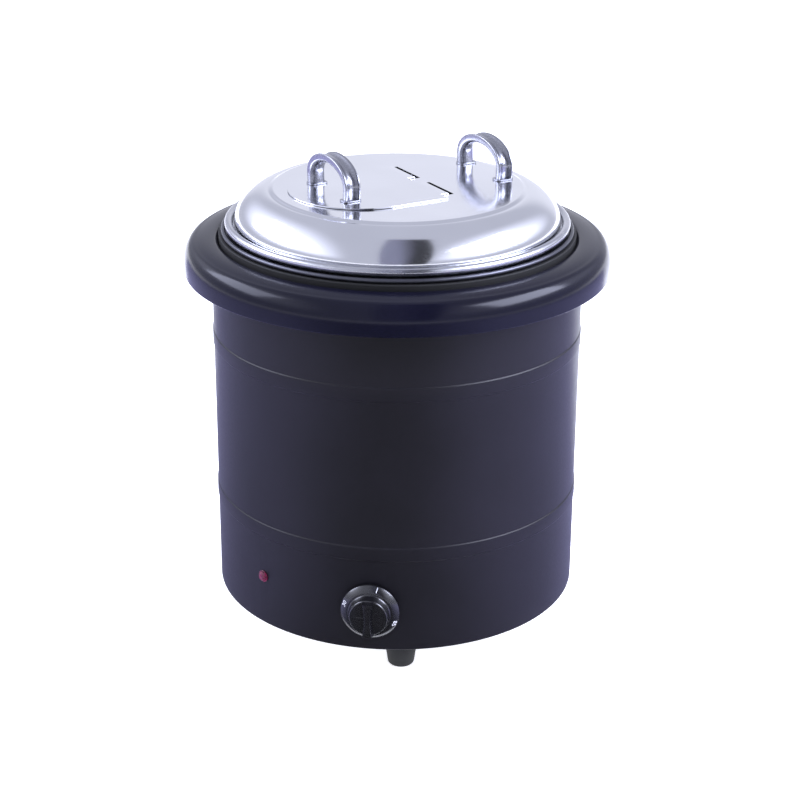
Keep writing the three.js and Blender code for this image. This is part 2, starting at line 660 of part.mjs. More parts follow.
// Openings that the clamp plate and the heat shield share.
function cutServices(form) {
  const [from, to] = [shieldUnder - 2, clampTop + 2];
  const cuts = [
    bore(STUD_RADIUS + FIT, from, to), bore(CUTOUT_RADIUS + CUTOUT_PLAY, from, to, ...CUTOUT_PLACE),
    bore(CAPILLARY_HOLE, from, to, ...CAPILLARY_CROSSING),
    ...[-1, 1].map((side) => block(...SERVICE_WINDOW, to - from, side * (legX + SERVICE_SHIFT), legY, from)),
  ];
  return cuts.reduce((plate, cut) => plate.subtract(cut), form);
}

function thermalCutout() {
  const top = tankBottom - FIT;
  const flange = top - CUTOUT_FLANGE;
  const body = CUTOUT_RADIUS - CUTOUT_WAIST;
  return turned([
    [0, top - CUTOUT_DEPTH], [body, top - CUTOUT_DEPTH], [body, flange], [CUTOUT_RADIUS, flange],
    [CUTOUT_RADIUS, top], [0, top],
  ], 20);
}

const bulbZ = tankBottom - FIT - BULB_RADIUS;
const alongX = (y, z) => new THREE.Matrix4().makeTranslation(0, y, z)
  .multiply(new THREE.Matrix4().makeRotationY(Math.PI / 2));

function bulbClip() {
  const top = bulbZ;
  const saddle = block(...BULB_CLIP, top - clampTop - FIT, 0, BULB_PLACE, clampTop + FIT);
  const groove = bore(BULB_RADIUS + FIT, -BULB_CLIP[0], BULB_CLIP[0]);
  return saddle.subtract(moved(groove, alongX(BULB_PLACE, bulbZ)));
}

function capillary() {
  const rearFace = FIT - thermostatBack;
  const [cx, cy] = CAPILLARY_CROSSING;
  return swept(regular(CAPILLARY_RADIUS, 6), [
    [-BULB_LENGTH / 2 - FIT, BULB_PLACE, bulbZ], [cx + 5, BULB_PLACE, bulbZ - 0.5], [cx, cy, clampTop],
    [cx, cy - 2, shieldUnder - 4], [cx / 2, rearFace + 28, knobZ + 3], [0, rearFace + 10, knobZ],
    [0, rearFace, knobZ],
  ], 24);
}

function basePlate() {
  let plate = rod(insideWall(0), baseUnder, baseTop, 0, 0, FACETS);
  const holes = [
    ...feet.map(([x, y]) => [FOOT_STUD_RADIUS, x, y]),
    ...baseScrews.map(([x, y]) => [SCREW_RADIUS, x, y]),
    [SCREW_RADIUS, ...EARTH_PLACE],
    ...around(VENT_COUNT, 0, VENT_CIRCLE).map(([x, y]) => [VENT_RADIUS, x, y]),
  ];
  for (const [radius, x, y] of holes) {
    plate = plate.subtract(bore(radius + FIT, baseUnder - 1, baseTop + 1, x, y));
  }
  return plate;
}

function foot() {
  const top = baseUnder - FIT;
  const tread = FOOT_TREAD_RADIUS - FOOT_ROUNDING;
  const form = turned([
    [0, 0], ...arc(tread, FOOT_ROUNDING, FOOT_ROUNDING, FOOT_ROUNDING, -90, 0, 3),
    [FOOT_TOP_RADIUS, top], [0, top],
  ], 20);
  return form.subtract(bore(FOOT_STUD_RADIUS + FIT, top / 3 - FIT, top + 1));
}

function cableGland() {
  const seat = jacketOuter + FIT;
  return turned([
    [GLAND_BORE, jacketInner - GLAND_IN], [GLAND_THREAD, jacketInner - GLAND_IN], [GLAND_THREAD, seat],
    [GLAND_FLANGE, seat], [GLAND_FLANGE, seat + GLAND_HEX_HEIGHT],
    [GLAND_FLANGE - GLAND_SHOULDER, seat + GLAND_HEX_HEIGHT + 1],
    [GLAND_FLANGE - GLAND_SHOULDER - GLAND_TAPER, seat + GLAND_OUT], [GLAND_BORE, seat + GLAND_OUT],
  ], 24);
}

function terminalBlock() {
  const [width, depth, height] = BLOCK_SIZE;
  let form = block(width, depth, height, 0, BLOCK_PLACE, baseTop + FIT);
  for (const x of [-TERMINAL_PITCH, 0, TERMINAL_PITCH]) {
    const top = baseTop + FIT + height;
    form = form.subtract(bore(TERMINAL_RADIUS, top - TERMINAL_DEPTH, top + 1, x, BLOCK_PLACE));
  }
  return form;
}

// A stranded lead through the base space.
function lead(points) {
  return swept(regular(LEAD_RADIUS, 6), points, 3 * points.length);
}

// Fixed shell and tank.
add('outer_body', outerBody(), coated);
add('top_collar', topCollar(), coated);
add('heat_ring', heatRing(), rubber);
add('water_tank', waterTank(), satin);
add('insulation_blanket', insulation(), wool);

// Heating under the tank.
add('heating_element', heatingElement(), satin);
const clampDisc = rod(ELEMENT_RADIUS + CLAMP_MARGIN, clampUnder, clampTop, 0, 0, FACETS);
const shieldDisc = rod(jacketInner - SHIELD_GAP, shieldUnder, shieldTop, 0, 0, FACETS);
add('clamp_plate', cutServices(clampDisc), aluminium);
add('heat_shield', cutServices(shieldDisc), zinc);
add('tank_stud', rod(STUD_RADIUS, shieldUnder - 2 * NUT_HEIGHT, tankBottom - FIT), zinc);
add('clamp_nut', nut(NUT_ACROSS, STUD_RADIUS, clampUnder - FIT - NUT_HEIGHT, NUT_HEIGHT), zinc);
add('shield_nut', nut(NUT_ACROSS, STUD_RADIUS, shieldUnder - FIT - NUT_HEIGHT, NUT_HEIGHT), zinc);
add('thermal_cutout', thermalCutout(), ceramic).position.set(...CUTOUT_PLACE, 0);
const bulb = rod(BULB_RADIUS, -BULB_LENGTH / 2, BULB_LENGTH / 2);
add('sensor_bulb', moved(bulb, alongX(BULB_PLACE, bulbZ)), copper);
add('bulb_clip', bulbClip(), zinc);
add('capillary_tube', capillary(), copper);

// Controls on the front.
const shaftEnd = jacketOuter + KNOB_STANDOFF + KNOB_HOLLOW_DEPTH + SHAFT_GRIP;
const shaftStart = thermostatFace - SHAFT_SOCKET;
const thermostatScrew = jacketOuter + FIT - thermostatFace + THERMOSTAT_SCREW_BITE;
add('thermostat', thermostat(), blackPlastic).applyMatrix4(front);
add('thermostat_shaft', rod(SHAFT_RADIUS, shaftStart, shaftEnd), zinc).applyMatrix4(front);
thermostatScrews.forEach((x, k) => {
  const piece = add(`thermostat_screw_${k + 1}`, screw(jacketOuter + FIT, thermostatScrew), zinc);
  piece.position.x = x;
  piece.applyMatrix4(front);
});
add('knob', knob(), blackPlastic).applyMatrix4(front);
add('lamp_lens', lampLens(), redLens).applyMatrix4(lampStation);
add('lamp_housing', lampHousing(), blackPlastic).applyMatrix4(lampStation);

// Base, feet and fixings.
add('base_plate', basePlate(), zinc);
feet.forEach(([x, y], k) => {
  const top = baseUnder - FIT;
  const pieces = [
    add(`foot_${k + 1}`, foot(), rubber),
    add(`foot_stud_${k + 1}`, rod(FOOT_STUD_RADIUS, top / 3, baseTop + NUT_HEIGHT + FOOT_STUD_SPARE), zinc),
    add(`foot_nut_${k + 1}`, nut(NUT_ACROSS, FOOT_STUD_RADIUS, baseTop + FIT, NUT_HEIGHT), zinc),
  ];
  for (const piece of pieces) piece.position.set(x, y, 0);
});
baseScrews.forEach(([x, y], k) => {
  const piece = add(`base_screw_${k + 1}`, screw(0, BASE_SCREW_LENGTH), zinc);
  piece.rotation.x = Math.PI;
  piece.position.set(x, y, jacketBottom - FIT);
});
add('earth_screw', screw(baseTop + FIT, EARTH_SCREW_LENGTH), zinc).position.set(...EARTH_PLACE, 0);
add('terminal_block', terminalBlock(), ceramic);
add('cable_gland', cableGland(), blackPlastic).applyMatrix4(rear);
const glandNut = nut(2 * GLAND_FLANGE, GLAND_THREAD, glandNutFace - GLAND_NUT_THICK, GLAND_NUT_THICK);
add('gland_nut', glandNut, blackPlastic).applyMatrix4(rear);

// Leads inside the base.
const blockTop = baseTop + FIT + BLOCK_SIZE[2] + FIT;
const legFoot = elementZ - ELEMENT_LEG_DROP - FIT;
for (const [k, side] of [-1, 1].entries()) {
  add(`element_lead_${k + 1}`, lead([
    [side * legX, legY, legFoot - FIT], [side * legX, legY, legFoot - 4],
    [side * 7, BLOCK_PLACE - 6, blockTop + 6], [side * 7, BLOCK_PLACE - 6, blockTop],
  ]), wire);
}
const thermostatRear = FIT - thermostatBack;
add('thermostat_lead', lead([
  [-BLOCK_SIZE[0] / 2 - 1.5, BLOCK_PLACE, baseTop + 12], [-40, 70, baseTop + 8], [-48, 0, baseTop + 6],
  [-34, -70, baseTop + 14], [-8, thermostatRear + 12, knobZ - 6], [-8, thermostatRear, knobZ - 6],
]), wire);

// Soup pot and lid.
add('insert_pot', insertPot(), satin);
const lidFrame = new THREE.Group();
lidFrame.rotation.z = radians(LID_TURN);
kettle.add(lidFrame);
const fittings = new THREE.Group();
fittings.applyMatrix4(fittingsPlace);
lidFrame.add(fittings);
add('lid', lidPlate(), polished, lidFrame);
add('lid_flap', lidFlap(), polished, fittings);
add('hinge_pin', hingeRod(PIN_RADIUS, pinLength, 0, 12), satin, fittings);
const lugPlace = pinLength / 2 - LUG_WIDTH;
[-lugPlace, 0, lugPlace].forEach((x, k) => add(`hinge_lug_${k + 1}`, hingeLug(x), satin, fittings));
const lidHandlePlace = [0, LID_HANDLE_INSET - plateRadius, lidTop + FIT];
const flapHandlePlace = [0, flapEnd - FLAP_HANDLE_INSET, flapTop + FIT];
add('lid_handle', handle(), polished, fittings).position.set(...lidHandlePlace);
add('flap_handle', handle(), polished, fittings).position.set(...flapHandlePlace);

export default kettle;
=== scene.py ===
import json
import math

import bmesh
import bpy
from mathutils import Matrix, Vector


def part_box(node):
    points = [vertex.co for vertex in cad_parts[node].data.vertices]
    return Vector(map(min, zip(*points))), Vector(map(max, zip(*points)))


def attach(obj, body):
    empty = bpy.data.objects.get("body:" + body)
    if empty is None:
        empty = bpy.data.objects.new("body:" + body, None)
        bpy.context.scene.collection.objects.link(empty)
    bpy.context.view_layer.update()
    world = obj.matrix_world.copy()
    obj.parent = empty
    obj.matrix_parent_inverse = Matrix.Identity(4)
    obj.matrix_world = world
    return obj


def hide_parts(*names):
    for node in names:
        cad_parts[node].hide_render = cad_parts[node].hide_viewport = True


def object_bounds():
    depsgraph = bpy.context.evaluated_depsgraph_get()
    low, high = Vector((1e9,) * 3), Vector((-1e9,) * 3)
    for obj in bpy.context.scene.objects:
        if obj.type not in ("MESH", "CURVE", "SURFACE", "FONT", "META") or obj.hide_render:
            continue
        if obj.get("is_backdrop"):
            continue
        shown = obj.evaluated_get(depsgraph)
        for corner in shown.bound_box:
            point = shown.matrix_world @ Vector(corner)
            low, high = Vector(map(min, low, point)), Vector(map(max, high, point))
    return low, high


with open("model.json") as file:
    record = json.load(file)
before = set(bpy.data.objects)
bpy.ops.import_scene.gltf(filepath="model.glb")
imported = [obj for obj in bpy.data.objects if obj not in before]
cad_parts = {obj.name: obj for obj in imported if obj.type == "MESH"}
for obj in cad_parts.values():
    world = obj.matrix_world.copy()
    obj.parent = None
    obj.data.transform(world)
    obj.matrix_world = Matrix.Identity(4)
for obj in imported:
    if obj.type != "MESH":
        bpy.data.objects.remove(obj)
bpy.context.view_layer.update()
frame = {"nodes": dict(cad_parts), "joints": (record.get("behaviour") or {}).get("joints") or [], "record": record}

# Jacket: mild steel sheet rolled into a drum and swaged with two stiffening beads, its lower edge
# turned in under the base. Sprayed with black powder and baked, which leaves a satin skin with a
# faint orange peel.
MM = 0.001
ROUND_STEPS = 192
HOLE_STEPS = 32
SHEET = 1.0
BEAD_PROUD = 0.75
BEAD_WIDTH = 13
BEAD_STEP = 1.5
LOWER_BEAD_RISE = 85.3
UPPER_BEAD_DROP = 68
HEM_RADIUS = 1.0
LOWER_FLANGE = 9
UPPER_FLANGE = 8.2
SHAFT_HOLE = 4
SCREW_HOLE = 2.1
SCREW_PITCH = 22
GLAND_HOLE = 8
LAMP_HOLE = 4
FRONT = 0
REAR = math.pi


def mm_box(name):
    low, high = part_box(name)
    return low / MM, high / MM


def arc(r, z, across, up, start, end, steps=6):
    """Points on an arc about (r, z), from one angle to another in degrees."""
    angles = [math.radians(start + (end - start) * k / steps) for k in range(steps + 1)]
    return [(r + across * math.cos(a), z + up * math.sin(a)) for a in angles]


def shaded(piece, sharp=38):
    piece.data.shade_smooth()
    piece.data.set_sharp_from_angle(angle=math.radians(sharp))
    return piece


def in_scene(name, data):
    """A new object, linked to the scene."""
    made = bpy.data.objects.new(name, data)
    bpy.context.scene.collection.objects.link(made)
    return made


def closed_piece(name, points, faces, sharp=38):
    """A mesh object from points in millimetres, its doubles merged and its faces turned outwards."""
    mesh = bpy.data.meshes.new(name)
    mesh.from_pydata([Vector(p) * MM for p in points], [], faces)
    form = bmesh.new()
    form.from_mesh(mesh)
    bmesh.ops.remove_doubles(form, verts=form.verts, dist=1e-7)
    bmesh.ops.recalc_face_normals(form, faces=form.faces)
    form.to_mesh(mesh)
    form.free()
    return shaded(in_scene(name, mesh), sharp)


def turned(name, profile, steps=ROUND_STEPS, sharp=38):
    """A profile of (radius, height) turned about Z. It closes on the axis, or else on itself."""
    points, rings = [], []
    for r, z in profile:
        ring = [len(points) + k for k in range(steps)] if r > 0 else [len(points)] * steps
        turns = [2 * math.pi * k / steps for k in range(steps)] if r > 0 else [0]
        points += [(r * math.cos(a), r * math.sin(a), z) for a in turns]
        rings.append(ring)
    following = rings[1:] + rings[:1] if profile[0][0] > 0 else rings[1:]
    faces = []
    for one, other in zip(rings, following):
        for k in range(steps):
            n = (k + 1) % steps
            corners = list(dict.fromkeys([one[k], one[n], other[n], other[k]]))
            if len(corners) > 2:
                faces.append(corners)
    return closed_piece(name, points, faces, sharp)


def plain_mesh(piece):
    """The piece with its modifiers made part of its mesh."""
    graph = bpy.context.evaluated_depsgraph_get()
    graph.update()
    old = piece.data
    piece.data = bpy.data.meshes.new_from_object(piece.evaluated_get(graph))
    piece.data.name = old.name
    piece.modifiers.clear()
    bpy.data.meshes.remove(old)
    return piece


def joined(piece, others, operation="DIFFERENCE", sharp=38):
    """The piece with the others cut from it or joined to it; the others are used up."""
    for other in others:
        step = piece.modifiers.new("cut", "BOOLEAN")
        step.operation = operation
        step.solver = "EXACT"
        step.object = other
    plain_mesh(piece)
    for other in others:
        bpy.data.objects.remove(other)
    return shaded(piece, sharp)


def placed(piece, matrix):
    piece.data.transform(matrix)
    return piece


def on_jacket(turn, height, across=0):
    """A place on the jacket: its Z points straight out. The turn is from the front, towards +X."""
    out = Matrix.Rotation(turn, 4, "Z") @ Matrix.Translation((across * MM, 0, height * MM))
    return out @ Matrix.Rotation(math.pi / 2, 4, "X")


def drill(radius, start, end, place):
    profile = [(0, start), (radius, start), (radius, end), (0, end)]
    return placed(turned("drill", profile, HOLE_STEPS), place)


def linear(colour):
    """The linear colour of an sRGB hex value."""
    parts = [int(colour[k:k + 2], 16) / 255 for k in (1, 3, 5)]
    return [c / 12.92 if c <= 0.04045 else ((c + 0.055) / 1.055) ** 2.4 for c in parts] + [1]


def node(tree, kind, inputs=None, **settings):
    """Adds a node with its settings; each input is a value, or the socket that feeds it."""
    made = tree.nodes.new(kind)
    for name, value in settings.items():
        setattr(made, name, value)
    for name, value in (inputs or {}).items():
        if isinstance(value, bpy.types.NodeSocket):
            tree.links.new(value, made.inputs[name])
        else:
            made.inputs[name].default_value = value
    return made


def new_material(name, **sockets):
    """A material with its shader's own values set, its tree and the place that its patterns read."""
    made = bpy.data.materials.new(name)
    made.use_nodes = True
    shader = made.node_tree.nodes["Principled BSDF"]
    for socket, value in sockets.items():
        shader.inputs[socket.replace("_", " ")].default_value = value
    place = node(made.node_tree, "ShaderNodeTexCoord").outputs["Object"]
    return made, made.node_tree, shader, place


def surface(tree, shader, colour, roughness=None, bump=None, most=1.0):
    """Feeds a shader. Each is a pattern's socket and what it drives: a dark and a light colour, a low
    and a high roughness reached at the pattern's most, a bump's strength and depth."""
    pattern, dark, light = colour
    shade = node(tree, "ShaderNodeMix", {0: pattern, 6: linear(dark), 7: linear(light)}, data_type="RGBA")
    tree.links.new(shade.outputs[2], shader.inputs["Base Color"])
    if roughness:
        pattern, low, high = roughness
        gloss = node(tree, "ShaderNodeMapRange",
                     {"Value": pattern, "From Max": most, "To Min": low, "To Max": high})
        tree.links.new(gloss.outputs[0], shader.inputs["Roughness"])
    if bump:
        pattern, strength, depth = bump
        relief = node(tree, "ShaderNodeBump", {"Height": pattern, "Strength": strength, "Distance": depth})
        tree.links.new(relief.outputs[0], shader.inputs["Normal"])


def finished(piece, material, body, slot, *nodes):
    """The piece gets its material, and rides on its body in place of the CAD nodes that it stands for."""
    piece.data.materials.clear()
    piece.data.materials.append(material)
    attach(piece, body)
    if nodes:
        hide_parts(*nodes)
    return piece


def powder_coat():
    """Baked black powder coat: a satin film, a little blue where it catches light. The real orange
    peel, about 0.8 mm, is drawn at 2 mm so that it shows."""
    made, tree, shader, place = new_material("powder_coated_steel", Specular_IOR_Level=0.3, IOR=1.5)
    peel = node(tree, "ShaderNodeTexNoise", {"Vector": place, "Scale": 1 / (2 * MM), "Detail": 3})
    cloud = node(tree, "ShaderNodeTexNoise", {"Vector": place, "Scale": 1 / (60 * MM), "Detail": 2})
    surface(tree, shader, colour=(cloud.outputs["Fac"], "#121114", "#18161d"),
            roughness=(peel.outputs["Fac"], 0.33, 0.43), bump=(peel.outputs["Fac"], 0.25, 0.04 * MM))
    return made


jacket_low, jacket_high = mm_box("outer_body")
jacket_r = jacket_high.x - BEAD_PROUD
jacket_inner = jacket_r - SHEET


def bead(centre):
    """One swaged bead, upwards: a soft step out, a flat and a soft step back."""
    half = BEAD_WIDTH / 2
    steps = 8
    rise = [(1 - math.cos(math.pi * k / steps)) / 2 for k in range(steps + 1)]
    out = [(jacket_r + BEAD_PROUD * share, centre - half + BEAD_STEP * k / steps)
           for k, share in enumerate(rise)]
    return out + [(r, 2 * centre - z) for r, z in reversed(out)]


jacket = turned("jacket", [
    (jacket_inner - LOWER_FLANGE, jacket_low.z),
    *arc(jacket_r - HEM_RADIUS, jacket_low.z + HEM_RADIUS, HEM_RADIUS, HEM_RADIUS, -90, 0),
    *bead(jacket_low.z + LOWER_BEAD_RISE), *bead(jacket_high.z - UPPER_BEAD_DROP),
    (jacket_r, jacket_high.z), (jacket_inner - UPPER_FLANGE, jacket_high.z),
    (jacket_inner - UPPER_FLANGE, jacket_high.z - SHEET), (jacket_inner, jacket_high.z - SHEET),
    (jacket_inner, jacket_low.z + SHEET), (jacket_inner - LOWER_FLANGE, jacket_low.z + SHEET),
])
knob_low, knob_high = mm_box("knob")
knob_z = (knob_low.z + knob_high.z) / 2
lamp_low, lamp_high = mm_box("lamp_lens")
lamp_middle = (lamp_low + lamp_high) / 2
lamp_turn = math.atan2(lamp_middle.x, -lamp_middle.y)
through = (jacket_inner - 5, jacket_r + 5)
joined(jacket, [
    drill(SHAFT_HOLE, *through, on_jacket(FRONT, knob_z)),
    drill(SCREW_HOLE, *through, on_jacket(FRONT, knob_z, -SCREW_PITCH / 2)),
    drill(SCREW_HOLE, *through, on_jacket(FRONT, knob_z, SCREW_PITCH / 2)),
    drill(LAMP_HOLE, *through, on_jacket(lamp_turn, lamp_middle.z)),
    drill(GLAND_HOLE, *through, on_jacket(REAR, knob_z)),
])
finished(jacket, powder_coat(), "kettle", "jacket_coat", "outer_body")

# Collar: a spun steel ring over the jacket's top, with a deep round shoulder, a nearly flat top and a
# rolled inner edge. Its enamel is glossier than the jacket and finely grained.
COLLAR_SHEET = 1.6
COLLAR_HEM = 1.6
COLLAR_SIDE = 7.75
COLLAR_SHOULDER = 10.2
COLLAR_CROWN = 2.1
COLLAR_INNER_EDGE = 3.5
JACKET_PLAY = 0.9


def grained_enamel():
    """Black enamel over grit-blasted steel: a wet gloss broken by a 1.5 mm grain."""
    made, tree, shader, place = new_material("grained_black_enamel", Specular_IOR_Level=0.32, IOR=1.42)
    grain = node(tree, "ShaderNodeTexNoise", {"Vector": place, "Scale": 1 / (1.5 * MM), "Detail": 4})
    cloud = node(tree, "ShaderNodeTexNoise", {"Vector": place, "Scale": 1 / (45 * MM), "Detail": 2})
    surface(tree, shader, colour=(cloud.outputs["Fac"], "#0a0a15", "#0f0f1e"),
            roughness=(grain.outputs["Fac"], 0.14, 0.22), bump=(grain.outputs["Fac"], 0.22, 0.05 * MM))
    return made


collar_low, collar_high = mm_box("top_collar")
ring_low, ring_high = mm_box("heat_ring")
collar_inner = ring_high.x + 0.3
side_top = collar_low.z + COLLAR_SIDE
shoulder_r = collar_high.x - COLLAR_SHOULDER
shoulder_h = collar_high.z - COLLAR_CROWN - side_top
edge_r = collar_inner + COLLAR_INNER_EDGE
edge_z = collar_high.z - COLLAR_INNER_EDGE
collar_foot = ring_low.z
crown = [(edge_r + (shoulder_r - edge_r) * k / 8,
          collar_high.z - COLLAR_CROWN * (k / 8) ** 2) for k in range(8)]
under = [(r, z - COLLAR_SHEET) for r, z in crown]
collar = turned("collar", [
    (jacket_r + JACKET_PLAY, collar_low.z),
    *arc(collar_high.x - COLLAR_HEM, collar_low.z + COLLAR_HEM, COLLAR_HEM, COLLAR_HEM, -90, 0),
    *arc(shoulder_r, side_top, COLLAR_SHOULDER, shoulder_h, 0, 90, 16),
    *reversed(crown), *arc(edge_r, edge_z, COLLAR_INNER_EDGE, COLLAR_INNER_EDGE, 90, 180, 8)[1:],
    (collar_inner, collar_foot), (collar_inner + COLLAR_SHEET, collar_foot),
    *arc(edge_r, edge_z, COLLAR_INNER_EDGE - COLLAR_SHEET, COLLAR_INNER_EDGE - COLLAR_SHEET, 180, 90, 6),
    *under[1:],
    *arc(shoulder_r, side_top, COLLAR_SHOULDER - COLLAR_SHEET, shoulder_h - COLLAR_SHEET, 90, 0, 12),
    (collar_high.x - COLLAR_SHEET, collar_low.z + COLLAR_SHEET),
    (jacket_r + JACKET_PLAY, collar_low.z + COLLAR_SHEET),
])
finished(collar, grained_enamel(), "kettle", "collar_coat", "top_collar")

# Heat ring: a moulded rubber ring that the water tank's rim sits on, so that the collar stays cool.
# Matt, a little dusty, with rounded edges.
RING_WALL = 5
RING_EDGE = 1


def matt_rubber():
    """Compression-moulded rubber: almost no gloss, faintly mottled."""
    made, tree, shader, place = new_material("moulded_rubber", Specular_IOR_Level=0.35, IOR=1.52)
    mottle = node(tree, "ShaderNodeTexNoise", {"Vector": place, "Scale": 1 / (4 * MM), "Detail": 4})
    surface(tree, shader, colour=(mottle.outputs["Fac"], "#101010", "#191918"),
            roughness=(mottle.outputs["Fac"], 0.5, 0.7), bump=(mottle.outputs["Fac"], 0.2, 0.05 * MM))
    return made


rubber = matt_rubber()
ring_inner = ring_high.x - RING_WALL
heat_ring = turned("rim_ring", [
    *arc(ring_inner + RING_EDGE, ring_low.z + RING_EDGE, RING_EDGE, RING_EDGE, 180, 270, 4),
    *arc(ring_high.x - RING_EDGE, ring_low.z + RING_EDGE, RING_EDGE, RING_EDGE, 270, 360, 4),
    *arc(ring_high.x - RING_EDGE, ring_high.z - RING_EDGE, RING_EDGE, RING_EDGE, 0, 90, 4),
    *arc(ring_inner + RING_EDGE, ring_high.z - RING_EDGE, RING_EDGE, RING_EDGE, 90, 180, 4),
])
finished(heat_ring, rubber, "kettle", "black_rubber", "heat_ring")

# Water tank: a deep-drawn stainless bowl that holds the hot water, hanging by its rolled rim. Its steel is
# rougher than the bright spun soup pot over it and painted far darker, as painted shade for the rim, which sits in
# shadow under the pot's rim.
TANK_WALL = 0.8
TANK_ROLL = 1.8
TANK_CORNER = 6


def satin_steel(name, lines, dark, light, rough_low, rough_high):
    """Satin stainless steel: fine rings left by spinning, drawn as wide as they need to show."""
    made, tree, shader, place = new_material(name, Metallic=1.0)
    parts = node(tree, "ShaderNodeSeparateXYZ", {"Vector": place})
    flat = node(tree, "ShaderNodeCombineXYZ", {"X": parts.outputs["X"], "Y": parts.outputs["Y"]})
    radius = node(tree, "ShaderNodeVectorMath", {0: flat.outputs[0]}, operation="LENGTH")
    rings = node(tree, "ShaderNodeCombineXYZ", {"X": radius.outputs["Value"], "Y": parts.outputs["Z"]})
    spun = node(tree, "ShaderNodeTexNoise", {"Vector": rings.outputs[0], "Scale": 1 / lines, "Detail": 3})
    smear = node(tree, "ShaderNodeTexNoise", {"Vector": place, "Scale": 1 / (30 * MM), "Detail": 2})
    both = node(tree, "ShaderNodeMath", {0: spun.outputs["Fac"], 1: smear.outputs["Fac"]},
                operation="MULTIPLY")
    surface(tree, shader, colour=(smear.outputs["Fac"], dark, light),
            roughness=(both.outputs[0], rough_low, rough_high), most=0.5,
            bump=(spun.outputs["Fac"], 0.15, 0.03 * MM))
    return made


spun_steel = satin_steel("satin_stainless_steel", 0.9 * MM, "#b4b5ba", "#cfd0d4", 0.16, 0.34)
# Painted shade: the tank's steel colour is far darker than real stainless, standing in for the shadow its rim sits
# in under the pot's rim.
shade_darkened_steel = satin_steel("dull_stainless_steel", 1.4 * MM, "#505157", "#686970", 0.32, 0.48)
tank_low, tank_high = mm_box("water_tank")
pot_low, pot_high = mm_box("insert_pot")
POT_REACH = 15.1
WATER_GAP = 5
tank_inner = pot_high.x - POT_REACH + WATER_GAP
tank_outer = tank_inner + TANK_WALL
roll_r = tank_high.x - TANK_ROLL
roll_z = tank_high.z - TANK_ROLL
corner_r = tank_outer - TANK_CORNER
corner_z = tank_low.z + TANK_CORNER
inside = TANK_CORNER - TANK_WALL
tank = turned("tank", [
    (0, tank_low.z), *arc(corner_r, corner_z, TANK_CORNER, TANK_CORNER, -90, 0, 8),
    (tank_outer, roll_z - TANK_ROLL), *arc(roll_r, roll_z, TANK_ROLL, TANK_ROLL, -90, 150, 16),
    (roll_r - TANK_ROLL, roll_z - TANK_ROLL + TANK_WALL), (tank_inner, roll_z - TANK_ROLL + TANK_WALL),
    *arc(corner_r, corner_z, inside, inside, 0, -90, 8), (0, tank_low.z + TANK_WALL),
])
finished(tank, shade_darkened_steel, "kettle", "satin_steel", "water_tank")

# Soup pot: the lift-out stainless pot, drawn with a round corner and a bright rolled rim, which sits
# on the tank's rim.
POT_WALL = 1
POT_CORNER = 15
POT_ROLL = 3.4
pot_outer = pot_high.x - POT_REACH
roll_r = pot_high.x - POT_ROLL
roll_z = pot_high.z - POT_ROLL
flange = roll_z - POT_ROLL + POT_WALL
corner_r = pot_outer - POT_CORNER
corner_z = pot_low.z + POT_CORNER
inside = POT_CORNER - POT_WALL
pot = turned("soup_pot", [
    (0, pot_low.z), *arc(corner_r, corner_z, POT_CORNER, POT_CORNER, -90, 0, 12),
    (pot_outer, flange - POT_WALL), *arc(roll_r, roll_z, POT_ROLL, POT_ROLL, -90, 190, 28),
    (roll_r - POT_ROLL, flange), (pot_outer - POT_WALL, flange),
    *arc(corner_r, corner_z, inside, inside, 0, -90, 12), (0, pot_low.z + POT_WALL),
])
finished(pot, spun_steel, "pot", "satin_steel", "insert_pot")

# Lid: a spun stainless lid whose upright edge drops inside the pot's rolled rim. It has a domed
# shoulder, a small step up to its flat top, a round-ended serving hatch and two slots for the flap's
# tabs. Buffed to a mirror.
LID_EDGE_HEIGHT = 5.1
LID_SHOULDER = 27.2
LID_SHOULDER_POWER = 1.68
LID_STEP = 1.5
STEP_WIDTH = 5
HATCH_HALF = 53
HATCH_BACK = 10
HATCH_END = 86
TAB_HALF = 19
TAB_CENTRE = 27
TAB_PLAY = 0.4
SLOT_BACK = 7.2
SLOT_FRONT = 2.45
HINGE_BACK = 20.6
FITTINGS_SHIFT = 4


def mirror_steel():
    """Buffed stainless steel: a mirror with the faint swirl of the mop and a slightly uneven sheet."""
    made, tree, shader, place = new_material("buffed_stainless_steel", Metallic=1.0)
    sheet = node(tree, "ShaderNodeTexNoise", {"Vector": place, "Scale": 1 / (50 * MM), "Detail": 1})
    swirl = node(tree, "ShaderNodeTexNoise",
                 {"Vector": place, "Scale": 1 / (3 * MM), "Detail": 3, "Distortion": 1.5})
    surface(tree, shader, colour=(sheet.outputs["Fac"], "#dcdde0", "#eaebee"),
            roughness=(swirl.outputs["Fac"], 0.1, 0.16), bump=(sheet.outputs["Fac"], 0.2, 0.4 * MM))
    return made


mirror = mirror_steel()
hinge = next(joint for joint in frame["joints"] if joint["name"] == "flap_hinge")
hinge_z = hinge["pos_m"][2] / MM
lid_turn = Matrix.Rotation(math.atan2(hinge["axis"][1], hinge["axis"][0]), 4, "Z")
fittings = lid_turn @ Matrix.Translation((FITTINGS_SHIFT * MM, 0, 0))
lid_low, lid_high = mm_box("lid")
lid_top = lid_high.z
lid_edge = lid_high.x
plate_r = lid_edge - LID_SHOULDER - LID_STEP
shoulder_foot = lid_low.z + LID_EDGE_HEIGHT


def shoulder(inset, steps):
    """The domed shoulder, a flattened ellipse from the edge up to the step."""
    height = lid_top - LID_STEP - shoulder_foot
    points = []
    for k in range(steps + 1):
        angle = math.pi / 2 * k / steps
        across = math.cos(angle) ** (2 / LID_SHOULDER_POWER) if k < steps else 0
        up = math.sin(angle) ** (2 / LID_SHOULDER_POWER)
        points.append((plate_r + LID_STEP + (LID_SHOULDER - inset) * across,
                       shoulder_foot + (height - inset) * up))
    return points


def prism_faces(count):
    """Both ends and the sides of a prism, whose points are one end's outline and then the other's."""
    faces = [tuple(range(count)), tuple(range(count, 2 * count))]
    return faces + [(k, (k + 1) % count, count + (k + 1) % count, count + k) for k in range(count)]


